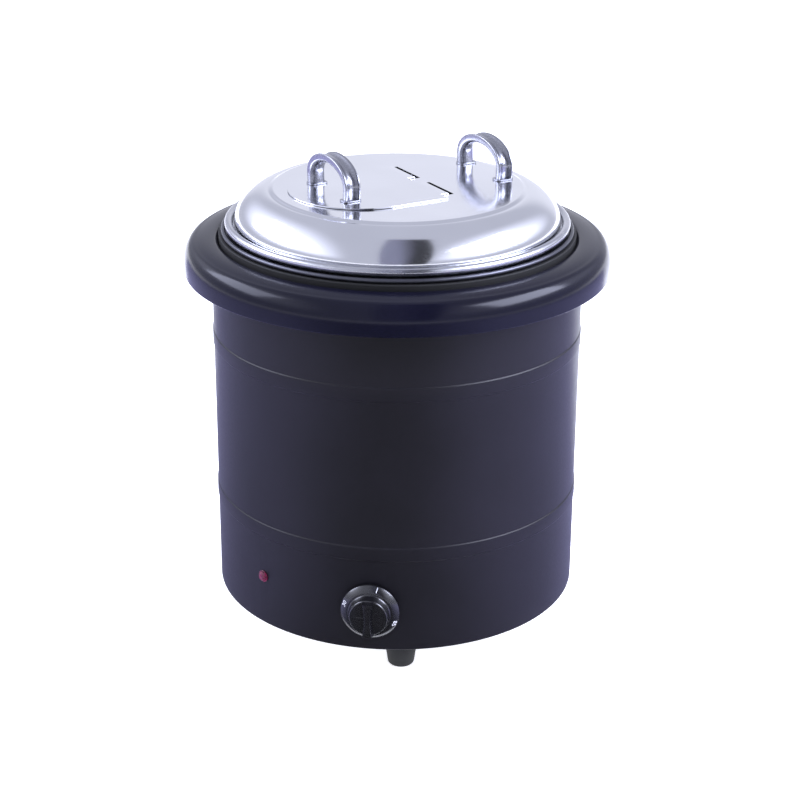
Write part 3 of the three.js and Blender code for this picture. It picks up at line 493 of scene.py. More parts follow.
def round_ended(half, back, end, low, high, name):
    """A plate in the lid's own axes: straight sides forward from the back, then a half circle."""
    outline = [(half, back), *arc(0, end - half, half, half, 0, 180, 48), (-half, back)]
    count = len(outline)
    points = [(x, y, z) for z in (low, high) for x, y in outline]
    return closed_piece(name, points, prism_faces(count))


def slab(name, low, high):
    corners = [(x, y, z) for x in (low[0], high[0]) for y in (low[1], high[1]) for z in (low[2], high[2])]
    faces = [(0, 1, 3, 2), (4, 6, 7, 5), (0, 4, 5, 1), (2, 3, 7, 6), (0, 2, 6, 4), (1, 5, 7, 3)]
    return closed_piece(name, corners, faces)


step_curve = [(plate_r + LID_STEP - STEP_WIDTH * k / 12,
               lid_top - LID_STEP * (1 + math.cos(math.pi * k / 12)) / 2) for k in range(1, 13)]
step_curve.append((plate_r + LID_STEP - STEP_WIDTH - 0.3, lid_top))
lid = turned("kettle_lid", [
    *arc(lid_edge - SHEET / 2, lid_low.z + SHEET / 2, SHEET / 2, SHEET / 2, 180, 360, 6),
    *shoulder(0, 28), *step_curve, (0, lid_top), (0, lid_top - SHEET), (plate_r - SHEET / 2, lid_top - SHEET),
    *reversed(shoulder(SHEET, 20)),
], sharp=30)
over = 3 * SHEET
openings = [round_ended(HATCH_HALF, HATCH_BACK - HINGE_BACK, HATCH_END,
                        lid_top - over, lid_top + over, "hatch")]
for side in (-1, 1):
    middle = side * TAB_CENTRE
    reach = TAB_HALF + TAB_PLAY
    openings.append(slab("slot", (middle - reach, -HINGE_BACK - SLOT_BACK, lid_top - over),
                         (middle + reach, -HINGE_BACK + SLOT_FRONT, lid_top + over)))
for opening in openings:
    placed(opening, fittings)
joined(lid, openings, sharp=30)
finished(lid, mirror, "kettle_lid", "polished_steel", "lid")

# Serving flap: a round-ended stainless plate that lies over the hatch. Two tabs at its back bend down
# through the lid's slots and curl round the hinge wire.
FLAP_HALF = 58
FLAP_BACK = 4.8
FLAP_END = 91
FLAP_EDGE = 0.12
PIN_RADIUS = 1.5
CURL_PLAY = 0.3
flap_top = mm_box("lid_flap")[1].z
flap_over = flap_top - hinge_z
flap_under = flap_over - SHEET
curl_inner = PIN_RADIUS + CURL_PLAY
curl_outer = curl_inner + SHEET


def curled_tab(middle):
    """One tab, drawn in side view in front of and above the hinge axis, and given its width."""
    outline = [
        (FLAP_BACK + 1, flap_over), *arc(SHEET - curl_outer, flap_over - SHEET, SHEET, SHEET, 90, 180, 5),
        *arc(0, 0, curl_outer, curl_outer, 180, 390, 28), *arc(0, 0, curl_inner, curl_inner, 390, 180, 28),
        (-curl_inner, flap_under - SHEET / 2), (SHEET / 2 - curl_inner, flap_under),
        (FLAP_BACK + 1, flap_under),
    ]
    count = len(outline)
    points = [(middle + x, y - HINGE_BACK, hinge_z + z)
              for x in (-TAB_HALF, TAB_HALF) for y, z in outline]
    return closed_piece("tab", points, prism_faces(count))


flap = round_ended(FLAP_HALF, FLAP_BACK - HINGE_BACK, FLAP_END, flap_top - SHEET, flap_top, "serving_flap")
joined(flap, [curled_tab(-TAB_CENTRE), curled_tab(TAB_CENTRE)], "UNION")
rounding = flap.modifiers.new("edge", "BEVEL")
rounding.width = FLAP_EDGE * MM
rounding.segments = 2
rounding.limit_method = "ANGLE"
rounding.angle_limit = math.radians(50)
shaded(plain_mesh(flap), 15)
placed(flap, fittings)
finished(flap, mirror, "flap", "polished_steel", "lid_flap")

# Hinge wire and its lugs: a straight stainless wire held under the lid by three small plates that are
# spot welded to it. The lugs keep their CAD shape.
PIN_LENGTH = 104
PIN_EDGE = 0.3
half = PIN_LENGTH / 2
pin = turned("hinge_wire", [
    (0, -half), *arc(PIN_RADIUS - PIN_EDGE, PIN_EDGE - half, PIN_EDGE, PIN_EDGE, -90, 0, 3),
    *arc(PIN_RADIUS - PIN_EDGE, half - PIN_EDGE, PIN_EDGE, PIN_EDGE, 0, 90, 3), (0, half),
], HOLE_STEPS)
along_hinge = (Matrix.Translation((0, -HINGE_BACK * MM, hinge_z * MM))
               @ Matrix.Rotation(math.pi / 2, 4, "Y"))
placed(pin, fittings @ along_hinge)
finished(pin, spun_steel, "kettle_lid", "satin_steel", "hinge_pin")

# Handles: a stainless strip pressed to a half round, bent to an arch, its ends flattened into small
# tabs that are spot welded down. One stands on the lid and its twin on the flap. Brushed along the strip.
HANDLE_SPAN = 58
HANDLE_BULGE = 0.8
HANDLE_KNEE = 10
HANDLE_WIDTH = 13.5
HANDLE_THICK = 8
HANDLE_HOLLOW = 2.6
HANDLE_EDGE = 0.9
TAB_REACH = 1.2
TAB_THICK = 1
TAB_ROUND = 3
LEG_STEPS = 8


def handle_section():
    """The strip across: round outside, with small round edges and a shallow hollow inside."""
    w = HANDLE_WIDTH / 2
    t = HANDLE_THICK / 2
    e = HANDLE_EDGE
    hollow = [(w * 0.8 - 1.6 * w * k / 10, t - HANDLE_HOLLOW * math.sin(math.pi * k / 10))
              for k in range(11)]
    return [*arc(0, 0, w, t, 180, 360, 24), *arc(w - e, t - e, e, e, 0, 90, 4), *hollow,
            *arc(e - w, t - e, e, e, 90, 180, 4)]


def handle(name, height):
    """The arch in XZ, standing on z = 0. Its section turns with the path, hollow side in."""
    half = HANDLE_SPAN / 2
    crown = height - HANDLE_THICK / 2
    leg = [(half + HANDLE_BULGE * math.sin(math.pi / 2 * k / LEG_STEPS), (HANDLE_KNEE + 1) * k / LEG_STEPS - 1)
           for k in range(LEG_STEPS)]
    smooth = [(-x, z) for x, z in leg]
    smooth += arc(0, HANDLE_KNEE, half + HANDLE_BULGE, crown - HANDLE_KNEE, 180, 0, 64)
    smooth += reversed(leg)
    section = handle_section()
    points, faces = [], []
    for k, (x, z) in enumerate(smooth):
        before, after = smooth[max(k - 1, 0)], smooth[min(k + 1, len(smooth) - 1)]
        forward = Vector((after[0] - before[0], 0, after[1] - before[1])).normalized()
        inward = forward.cross(Vector((0, 1, 0)))
        points += [Vector((x, 0, z)) + Vector((0, 1, 0)) * a + inward * b for a, b in section]
    count = len(section)
    for k in range(len(smooth) - 1):
        start = k * count
        faces += [(start + a, start + (a + 1) % count, start + count + (a + 1) % count, start + count + a)
                  for a in range(count)]
    faces += [tuple(range(count)), tuple(range(len(points) - count, len(points)))]
    arch = closed_piece(name, points, faces)
    below = slab("below", (-2 * half, -HANDLE_WIDTH, -HANDLE_THICK), (2 * half, HANDLE_WIDTH, 0))
    joined(arch, [below])
    tabs = []
    for side in (-1, 1):
        reach = HANDLE_THICK / 2 + TAB_REACH
        w = HANDLE_WIDTH / 2 + TAB_REACH
        r = TAB_ROUND
        outline = [*arc(reach - r, w - r, r, r, 0, 90, 5), *arc(r - reach, w - r, r, r, 90, 180, 5),
                   *arc(r - reach, r - w, r, r, 180, 270, 5), *arc(reach - r, r - w, r, r, 270, 360, 5)]
        corners = [(side * half + x, y, z) for z in (0, TAB_THICK) for x, y in outline]
        tabs.append(closed_piece("tab", corners, prism_faces(len(outline))))
    return joined(arch, tabs, "UNION")


def brushed_steel():
    """Stainless steel brushed along the strip: greyer and softer than the lid."""
    made, tree, shader, place = new_material("brushed_stainless_steel", Metallic=1.0)
    drawn = node(tree, "ShaderNodeMapping", {"Vector": place, "Scale": (1, 1, 0.15)})
    brush = node(tree, "ShaderNodeTexNoise",
                 {"Vector": drawn.outputs[0], "Scale": 1 / (0.9 * MM), "Detail": 4})
    surface(tree, shader, colour=(brush.outputs["Fac"], "#8f9097", "#b2b3ba"),
            roughness=(brush.outputs["Fac"], 0.2, 0.32))
    return made


brushed = brushed_steel()
for name, body, node_name in (("lid_grip", "kettle_lid", "lid_handle"), ("flap_grip", "flap", "flap_handle")):
    low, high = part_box(node_name)
    grip = handle(name, (high.z - low.z) / MM)
    placed(grip, Matrix.Translation(((low.x + high.x) / 2, (low.y + high.y) / 2, low.z)) @ lid_turn)
    finished(grip, brushed, body, "polished_steel", node_name)

# Control knob: moulded black phenolic, a bevelled skirt with a raised grip bar, pushed on the
# thermostat's shaft. The skirt and the grip share one semi-gloss finish.
KNOB_SKIRT = 3
KNOB_BEVEL = 4.4
KNOB_BEVEL_HEIGHT = 4
KNOB_GRIP = 15.5
KNOB_GRIP_DRAFT = 1
KNOB_BAR_WIDTH = 7
KNOB_BAR_HEIGHT = 6
KNOB_HOLLOW_WALL = 3.5
KNOB_HOLLOW_DEPTH = 3.5
KNOB_EDGE = 0.6
SHAFT_SOCKET = 3.3
SHAFT_GRIP = 8


def phenolic():
    """Moulded phenolic: hard, black, semi-gloss, with a faint flow mottle and fine scuffs."""
    made, tree, shader, place = new_material("moulded_phenolic", Specular_IOR_Level=0.9, IOR=1.6)
    flow = node(tree, "ShaderNodeTexNoise",
                {"Vector": place, "Scale": 1 / (9 * MM), "Detail": 3, "Distortion": 1})
    scuff = node(tree, "ShaderNodeTexNoise", {"Vector": place, "Scale": 1 / (1.2 * MM), "Detail": 4})
    surface(tree, shader, colour=(flow.outputs["Fac"], "#0a0a0c", "#121214"),
            roughness=(flow.outputs["Fac"], 0.2, 0.28), bump=(scuff.outputs["Fac"], 0.05, 0.02 * MM))
    return made


black_plastic = phenolic()
knob_r = knob_high.x
knob_back = -knob_high.y
knob_tip = -knob_low.y
skirt_front = knob_back + KNOB_SKIRT
face = skirt_front + KNOB_BEVEL_HEIGHT
bar_foot = knob_tip - KNOB_BAR_HEIGHT
hollow = knob_back + KNOB_HOLLOW_DEPTH
e = KNOB_EDGE
skirt_edge = arc(knob_r - e, skirt_front - e * 0.3, e, e, 0, 42, 3)
knob_body = turned("dial", [
    (0, hollow), (knob_r - KNOB_HOLLOW_WALL, hollow), (knob_r - KNOB_HOLLOW_WALL, knob_back),
    *arc(knob_r - e, knob_back + e, e, e, -90, 0, 3), *skirt_edge,
    (knob_r - KNOB_BEVEL, face), (KNOB_GRIP + 2.4, face + 0.2),
    *arc(KNOB_GRIP + 2.4, face + 1.6, 1.4, 1.4, 270, 180, 4),
    *arc(KNOB_GRIP - 1.2, bar_foot - 1.2, 1.2, 1.2, 0, 90, 4), (0, bar_foot),
], 96)


def grip_bar():
    """The raised bar, hollowed on both sides for finger and thumb."""
    half_long = KNOB_GRIP - 1
    rows = 25
    points, faces = [], []
    for k in range(rows):
        y = half_long * (2 * k / (rows - 1) - 1)
        share = abs(y) / half_long
        w = KNOB_BAR_WIDTH / 2 * (0.72 + 0.42 * share ** 2)
        drop = 0.5 * share ** 6
        top = knob_tip - drop
        section = [(-w - 1.1, bar_foot - 1), (-w - 0.3, bar_foot + 0.8), (-w, top - 0.9),
                   (-w + 0.3, top - 0.25), (-w + 0.9, top), (w - 0.9, top), (w - 0.3, top - 0.25),
                   (w, top - 0.9), (w + 0.3, bar_foot + 0.8), (w + 1.1, bar_foot - 1)]
        points += [(x, y, z) for x, z in section]
    n = 10
    for k in range(rows - 1):
        faces += [(k * n + a, k * n + (a + 1) % n, (k + 1) * n + (a + 1) % n, (k + 1) * n + a)
                  for a in range(n)]
    faces += [tuple(range(n)), tuple(range(n * (rows - 1), n * rows))]
    return closed_piece("bar", points, faces, 50)


joined(knob_body, [grip_bar()], "UNION")
socket_end = hollow + SHAFT_GRIP + 0.3
socket = turned("socket", [
    (0, hollow - 1), (SHAFT_SOCKET, hollow - 1), (SHAFT_SOCKET, socket_end), (0, socket_end),
], HOLE_STEPS)
joined(knob_body, [socket], sharp=42)
placed(knob_body, on_jacket(FRONT, knob_z))
finished(knob_body, black_plastic, "control_knob", "black_plastic", "knob")

# Dial marks: a pointer line and the lowest and highest heat in degrees, pad-printed on the knob's
# bevel in white ink a few hundredths of a millimetre thick.
INK_THICK = 0.05
INK_SINK = 0.02
POINTER_CLOCK = 16
LOW_CLOCK = 289
HIGH_CLOCK = 112
POINTER_WIDTH = 0.7
POINTER_LENGTH = 4.6
DIGIT_HEIGHT = 3.6
BEVEL_BEND = 32


def pad_ink():
    """Pad-printing ink: flat white, slightly worn through in specks."""
    made, tree, shader, place = new_material("white_pad_ink", Roughness=0.55)
    wear = node(tree, "ShaderNodeTexNoise", {"Vector": place, "Scale": 1 / (0.6 * MM), "Detail": 2})
    surface(tree, shader, colour=(wear.outputs["Fac"], "#b9bac0", "#e4e5ea"))
    return made


def merged(name, pieces):
    """Several pieces as one mesh object; the pieces are used up."""
    form = bmesh.new()
    for piece in pieces:
        form.from_mesh(piece.data)
        bpy.data.objects.remove(piece)
    mesh = bpy.data.meshes.new(name)
    form.to_mesh(mesh)
    form.free()
    return shaded(in_scene(name, mesh))


def on_bevel(clock):
    """A place on the knob's bevel: its Z points out of the bevel and its Y to the knob's rim."""
    low_r, low_z = skirt_edge[-1]
    slope = math.atan2(face - low_z, low_r - knob_r + KNOB_BEVEL)
    middle = Vector((0, (low_r + knob_r - KNOB_BEVEL) / 2, (low_z + face) / 2)) * MM
    return (on_jacket(FRONT, knob_z) @ Matrix.Rotation(-math.radians(clock), 4, "Z")
            @ Matrix.Translation(middle) @ Matrix.Rotation(-slope, 4, "X"))


def printed(text, clock):
    curve = bpy.data.curves.new("digits", "FONT")
    curve.body = text
    curve.size = DIGIT_HEIGHT / 0.7 * MM
    curve.extrude = (INK_THICK + INK_SINK) / 2 * MM
    curve.align_x = "CENTER"
    curve.align_y = "CENTER"
    drawn = in_scene("digits", curve)
    graph = bpy.context.evaluated_depsgraph_get()
    graph.update()
    flat = bpy.data.meshes.new_from_object(drawn.evaluated_get(graph))
    bpy.data.objects.remove(drawn)
    form = bmesh.new()
    form.from_mesh(flat)
    bmesh.ops.remove_doubles(form, verts=form.verts, dist=1e-7)
    for corner in form.verts:
        corner.co.z -= corner.co.x ** 2 / (2 * BEVEL_BEND * MM)
    form.to_mesh(flat)
    form.free()
    raised = Matrix.Translation((0, 0, (INK_THICK - INK_SINK) / 2 * MM))
    return placed(in_scene("digits", flat), on_bevel(clock) @ raised)


pointer = slab("pointer", (-POINTER_WIDTH / 2, -POINTER_LENGTH / 2, -INK_SINK),
               (POINTER_WIDTH / 2, POINTER_LENGTH / 2, INK_THICK))
placed(pointer, on_bevel(POINTER_CLOCK))
marks = merged("dial_marks", [pointer, printed("30", LOW_CLOCK), printed("85", HIGH_CLOCK)])
finished(marks, pad_ink(), "control_knob", "black_plastic")

# Pilot lamp: a faceted red polycarbonate jewel on a round bezel, its stem clipped into a sleeve
# behind the jacket. Clear enough to glow at its edges, dark in the middle.
LAMP_R = 5
LAMP_STEM = 3.7
LAMP_DEPTH = 22
LAMP_PROUD = 3.4
LAMP_RIM = 0.8
LAMP_FACETS = 8
LAMP_SEAT = 0.3


def red_polycarbonate():
    """Clear red polycarbonate: deep red and glossy, with painted light and shade in lighter and darker red patches
    for the moulded facets.
    """
    made, tree, shader, place = new_material("clear_red_polycarbonate", IOR=1.58,
                                             Coat_Weight=0.1, Coat_Roughness=0.05)
    # Painted light and shade: the red runs lighter and darker across 3 mm patches, standing in for facets that
    # catch or miss the light.
    facet_shading = node(tree, "ShaderNodeTexVoronoi", {"Vector": place, "Scale": 1 / (3 * MM)})
    surface(tree, shader, colour=(facet_shading.outputs["Distance"], "#701238", "#340819"),
            roughness=(facet_shading.outputs["Distance"], 0.12, 0.3))
    return made


seat = jacket_r + LAMP_SEAT
lens = turned("pilot_lamp", [
    (0, seat - LAMP_DEPTH), (LAMP_STEM, seat - LAMP_DEPTH), (LAMP_STEM, seat), (LAMP_R, seat),
    *arc(LAMP_R - 0.4, seat + LAMP_RIM - 0.4, 0.4, 0.4, 0, 90, 4), (0, seat + LAMP_RIM),
], 64)
jewel = turned("jewel", [
    (0, seat), (LAMP_R - 0.7, seat), (LAMP_R - 0.7, seat + LAMP_RIM + 0.5),
    (LAMP_R * 0.56, seat + LAMP_PROUD - 0.7), (0, seat + LAMP_PROUD),
], LAMP_FACETS, 5)
joined(lens, [jewel], "UNION", 12)
placed(lens, on_jacket(lamp_turn, lamp_middle.z))
finished(lens, red_polycarbonate(), "kettle", "red_lens", "lamp_lens")

# Base plate: a zinc-plated disc that closes the jacket from below, with a ring of vents and holes for
# the feet and the screws.
BASE_EDGE = 0.3
FEET = 3
FOOT_HOLE = 3.3
BASE_SCREW_HOLE = 2.1
VENTS = 6
VENT_HOLE = 6.3
VENT_CIRCLE = 60
EARTH_PLACE = (60, 80)


def zinc_plate():
    """Bright zinc plating: a bluish metal with a soft spangle about 4 mm across."""
    made, tree, shader, place = new_material("zinc_plated_steel", Metallic=1.0)
    spangle = node(tree, "ShaderNodeTexVoronoi", {"Vector": place, "Scale": 1 / (4 * MM)})
    haze = node(tree, "ShaderNodeTexNoise", {"Vector": place, "Scale": 1 / (14 * MM), "Detail": 4})
    parts = node(tree, "ShaderNodeSeparateColor", {"Color": spangle.outputs["Color"]})
    both = node(tree, "ShaderNodeMath", {0: parts.outputs[0], 1: haze.outputs["Fac"]}, operation="MULTIPLY")
    surface(tree, shader, colour=(both.outputs[0], "#9a9ea4", "#c6cbd2"),
            roughness=(both.outputs[0], 0.28, 0.5))
    return made


def on_circle(count, start, radius):
    """Places round a circle, the first at an angle from the front, towards +X."""
    turns = [start + 2 * math.pi * k / count for k in range(count)]
    return [(radius * math.sin(a), -radius * math.cos(a)) for a in turns]


zinc = zinc_plate()
base_low, base_high = mm_box("base_plate")
foot_low, foot_high = mm_box("foot_1")
foot_x = (foot_low.x + foot_high.x) / 2
foot_y = (foot_low.y + foot_high.y) / 2
foot_circle = math.hypot(foot_x, foot_y)
foot_start = math.atan2(foot_x, -foot_y)
screw_circle = jacket_inner - LOWER_FLANGE / 2
screw_start = foot_start + math.pi / FEET
base = turned("base_cover", [
    (0, base_low.z), *arc(base_high.x - BASE_EDGE, base_low.z + BASE_EDGE, BASE_EDGE, BASE_EDGE, -90, 0, 3),
    *arc(base_high.x - BASE_EDGE, base_high.z - BASE_EDGE, BASE_EDGE, BASE_EDGE, 0, 90, 3), (0, base_high.z),
])
holes = [(FOOT_HOLE, *place) for place in on_circle(FEET, foot_start, foot_circle)]
holes += [(BASE_SCREW_HOLE, *place) for place in on_circle(FEET, screw_start, screw_circle)]
holes += [(VENT_HOLE, *place) for place in on_circle(VENTS, 0, VENT_CIRCLE)]
holes += [(BASE_SCREW_HOLE, *EARTH_PLACE)]
joined(base, [drill(radius, base_low.z - 1, base_high.z + 1, Matrix.Translation((x * MM, y * MM, 0)))
              for radius, x, y in holes])
finished(base, zinc, "kettle", "zinc_steel", "base_plate")

# Feet: three tapered moulded rubber feet with rounded treads, each on a stud through the base plate.
FOOT_ROUND = 3.2
FOOT_TREAD = 11
FOOT_LIP = 0.6


def ring_tree():
    """Geometry nodes that stand copies of one piece round a circle, each turned with its place."""
    tree = bpy.data.node_groups.new("ring_of_pieces", "GeometryNodeTree")
    for name, kind in (("Piece", "Object"), ("Count", "Int"), ("Circle", "Float"), ("Start", "Float"),
                       ("Finish", "Material")):
        tree.interface.new_socket(name, in_out="INPUT", socket_type="NodeSocket" + kind)
    tree.interface.new_socket("Geometry", in_out="OUTPUT", socket_type="NodeSocketGeometry")
    given = node(tree, "NodeGroupInput").outputs
    index = node(tree, "GeometryNodeInputIndex").outputs[0]
    share = node(tree, "ShaderNodeMath", {0: index, 1: given["Count"]}, operation="DIVIDE").outputs[0]
    turn = node(tree, "ShaderNodeMath", {0: share, 1: 2 * math.pi, 2: given["Start"]},
                operation="MULTIPLY_ADD").outputs[0]
    back = node(tree, "ShaderNodeMath", {0: given["Circle"], 1: -1.0}, operation="MULTIPLY").outputs[0]
    sine = node(tree, "ShaderNodeMath", {0: turn}, operation="SINE").outputs[0]
    cosine = node(tree, "ShaderNodeMath", {0: turn}, operation="COSINE").outputs[0]
    x = node(tree, "ShaderNodeMath", {0: sine, 1: given["Circle"]}, operation="MULTIPLY").outputs[0]
    y = node(tree, "ShaderNodeMath", {0: cosine, 1: back}, operation="MULTIPLY").outputs[0]
    place = node(tree, "ShaderNodeCombineXYZ", {"X": x, "Y": y}).outputs[0]
    points = node(tree, "GeometryNodePoints", {"Count": given["Count"], "Position": place}).outputs[0]
    spin = node(tree, "ShaderNodeCombineXYZ", {"Z": turn}).outputs[0]
    piece = node(tree, "GeometryNodeObjectInfo", {"Object": given["Piece"]}).outputs["Geometry"]
    ring = node(tree, "GeometryNodeInstanceOnPoints", {"Points": points, "Instance": piece, "Rotation": spin})
    real = node(tree, "GeometryNodeRealizeInstances", {"Geometry": ring.outputs[0]}).outputs[0]
    coat = node(tree, "GeometryNodeSetMaterial", {"Geometry": real, "Material": given["Finish"]}).outputs[0]
    node(tree, "NodeGroupOutput", {"Geometry": coat})
    return tree


def ring_of(name, piece, count, circle, start, material):
    """Copies of the piece round a circle, as one plain mesh; the piece itself is used up."""
    whole = in_scene(name, bpy.data.meshes.new(name))
    modifier = whole.modifiers.new("ring", "NODES")
    modifier.node_group = rings
    values = {"Piece": piece, "Count": count, "Circle": circle * MM, "Start": start, "Finish": material}
    for socket in rings.interface.items_tree:
        if socket.in_out == "INPUT":
            modifier[socket.identifier] = values[socket.name]
    plain_mesh(whole)
    bpy.data.objects.remove(piece)
    return whole


rings = ring_tree()
foot_r = (foot_high.x - foot_low.x) / 2
foot = turned("foot", [
    (0, 0), *arc(FOOT_TREAD - FOOT_ROUND, FOOT_ROUND, FOOT_ROUND, FOOT_ROUND, -90, -12, 8),
    *arc(foot_r - FOOT_LIP, foot_high.z - FOOT_LIP, FOOT_LIP, FOOT_LIP, 0, 90, 4), (0, foot_high.z),
], 64)
stud_bore = drill(FOOT_HOLE, foot_high.z / 3 - 0.3, foot_high.z + 1, Matrix.Identity(4))
feet = ring_of("feet", joined(foot, [stud_bore]), FEET, foot_circle, foot_start, rubber)
finished(feet, rubber, "kettle", "black_rubber", "foot_1", "foot_2", "foot_3")

# Base screws: zinc-plated pan-head screws with a cross recess, driven up through the jacket's lower
# flange into the base plate.
SCREW_R = 1.8
SCREW_HEAD = 3.4
SCREW_HEAD_HEIGHT = 2
SCREW_LENGTH = 5
CROSS_WIDTH = 0.9
CROSS_LENGTH = 3.6
CROSS_DEPTH = 1.2
screw_low, screw_high = mm_box("base_screw_1")
head_top = screw_low.z + SCREW_HEAD_HEIGHT
screw = turned("screw", [
    (0, screw_low.z), *arc(1.6, screw_low.z + 1.4, SCREW_HEAD - 1.6, 1.4, -90, 0, 8), (SCREW_HEAD, head_top),
    (SCREW_R, head_top), (SCREW_R, screw_high.z - 0.5), (SCREW_R - 0.5, screw_high.z), (0, screw_high.z),
], HOLE_STEPS)
cross = [slab("cross", (-a / 2, -b / 2, screw_low.z - 1), (a / 2, b / 2, screw_low.z + CROSS_DEPTH))
         for a, b in ((CROSS_WIDTH, CROSS_LENGTH), (CROSS_LENGTH, CROSS_WIDTH))]
joined(screw, cross)
screws = ring_of("base_screws", screw, FEET, screw_circle, screw_start, zinc)
finished(screws, zinc, "kettle", "zinc_steel", "base_screw_1", "base_screw_2", "base_screw_3")

# Cable gland: a black nylon gland at the rear with a hexagon to hold it and a ribbed dome nut. Its
# bore is empty, because the mains cord isn't part of this piece.
GLAND_SEAT = 0.3
GLAND_THREAD = 7.7
GLAND_BORE = 4
GLAND_HEX = 10.5
GLAND_HEX_HEIGHT = 5
GLAND_CAP = 9
GLAND_MOUTH = 7
GLAND_RIBS = 18
RIB_SIZE = 0.8


def moulded_nylon():
    """Moulded nylon: black, softer in gloss than phenolic, with a fine mould texture."""
    made, tree, shader, place = new_material("moulded_nylon", IOR=1.53)
    spark = node(tree, "ShaderNodeTexNoise", {"Vector": place, "Scale": 1 / (0.8 * MM), "Detail": 3})
    surface(tree, shader, colour=(spark.outputs["Fac"], "#121213", "#1c1c1d"),
            roughness=(spark.outputs["Fac"], 0.38, 0.52), bump=(spark.outputs["Fac"], 0.2, 0.04 * MM))
    return made


nylon = moulded_nylon()
gland_low, gland_high = mm_box("cable_gland")
seat = jacket_r + GLAND_SEAT
hex_top = seat + GLAND_HEX_HEIGHT
gland = turned("cord_gland", [
    (GLAND_BORE, gland_low.y), (GLAND_THREAD, gland_low.y), (GLAND_THREAD, hex_top), (GLAND_CAP, hex_top),
    (GLAND_CAP, hex_top + 4.5),
    *arc(GLAND_MOUTH - 1, gland_high.y - 4, GLAND_CAP - GLAND_MOUTH + 1, 4, 20, 80, 6),
    (GLAND_BORE + 0.6, gland_high.y), (GLAND_BORE, gland_high.y - 0.6),
], 96)
hexagon = turned("hexagon", [
    (GLAND_BORE + 1, seat), (GLAND_HEX, seat), (GLAND_HEX, hex_top - 0.4), (GLAND_HEX - 0.6, hex_top),
    (GLAND_BORE + 1, hex_top),
], 6, 20)
rib = slab("rib", (-RIB_SIZE / 2, -RIB_SIZE, hex_top + 0.4), (RIB_SIZE / 2, RIB_SIZE, hex_top + 4.6))
ribs = ring_of("ribs", rib, GLAND_RIBS, GLAND_CAP - 0.3, 0, nylon)
joined(gland, [hexagon, ribs], "UNION", 30)
placed(gland, on_jacket(REAR, knob_z))
finished(gland, nylon, "kettle", "black_plastic", "cable_gland")

# Inner parts: the heating element and its plates, the thermostat with its bulb and capillary, the
# thermal cut-out, the wool round the tank, the wiring and the fixings, all in their CAD shapes.


def streaked_metal(name, dark, light, rough_low, rough_high, across):
    """Rolled or drawn metal: streaks along one way, with a soft cloud over them."""
    made, tree, shader, place = new_material(name, Metallic=1.0)
    drawn = node(tree, "ShaderNodeMapping", {"Vector": place, "Scale": (1, across, across)})
    streak = node(tree, "ShaderNodeTexNoise",
                  {"Vector": drawn.outputs[0], "Scale": 1 / (40 * MM), "Detail": 5})
    surface(tree, shader, colour=(streak.outputs["Fac"], dark, light),
            roughness=(streak.outputs["Fac"], rough_low, rough_high))
    return made


def dull_solid(name, dark, light, grain, rough_low, rough_high, depth):
    """A dull material of small grains: fired clay, felted glass wool or silicone sleeving."""
    made, tree, shader, place = new_material(name)
    grains = node(tree, "ShaderNodeTexNoise", {"Vector": place, "Scale": 1 / grain, "Detail": 5})
    surface(tree, shader, colour=(grains.outputs["Fac"], dark, light),
            roughness=(grains.outputs["Fac"], rough_low, rough_high),
            bump=(grains.outputs["Fac"], 0.3, depth))
    return made


inner_finishes = {
    "satin_steel": spun_steel,
    "zinc_steel": zinc,
    "black_plastic": black_plastic,
    # Mill-finish sheet: pale and soft, with the lines of the rolls.
    "aluminium": streaked_metal("rolled_aluminium", "#b9bcc0", "#dcdfe2", 0.3, 0.45, 20),
    # Drawn capillary and bulb, a little tarnished.
    "copper": streaked_metal("drawn_copper", "#9a5a3c", "#cf8a63", 0.25, 0.4, 8),
    # Unglazed steatite: off-white, chalky, with fine specks.
    "ceramic": dull_solid("unglazed_steatite", "#d9d3c2", "#efebe0", 1.2 * MM, 0.6, 0.8, 0.05 * MM),
    # Pressed glass wool: straw yellow and fibrous.
    "glass_wool": dull_solid("pressed_glass_wool", "#c9b98a", "#ece2bd", 3 * MM, 0.85, 1.0, 1.0 * MM),
    # Silicone sleeving on the leads: dull red and slightly waxy.
    "lead_sleeve": dull_solid("silicone_sleeving", "#8c1a1c", "#b0302c", 2 * MM, 0.45, 0.6, 0.05 * MM),
}
for part in frame["record"]["subparts"]:
    piece = frame["nodes"][part["node"]]
    if not piece.hide_render:
        for place in piece.material_slots:
            place.material = inner_finishes[part["material_slot"]]

# Studio: a pale paper floor under an even sky that is brighter at the back, a long soft box on each
# side and a wide one overhead. A dark card leans over the viewer and a dark flag lies before the
# kettle; only reflections see them, and they give the lid and the jacket their dark middles.
FLOOR_HALF = 9
VIEW_TURN = 7.42
VIEW_RISE = 22.27
VIEW_DISTANCE = 1.62
VIEW_ROLL = 0.32
VIEW_AIM = (0.0034, -0.0039, 0.1829)
VIEW_LENS = 86.15
DAYLIGHT = "#dfe4ff"
SIDE_SKY = (0.60, 0.62, 0.75, 1)
BACK_SKY = (0.93, 0.95, 1.09, 1)
FLOOR_GLOW = 0.75
HALO = 1.6
CARD_TURN = 8.5
FLAG_TURN = 3
FLAG_HALF_TURN = 140
FLAG_NEAR = 0.16
FLAG_FAR = 3.0


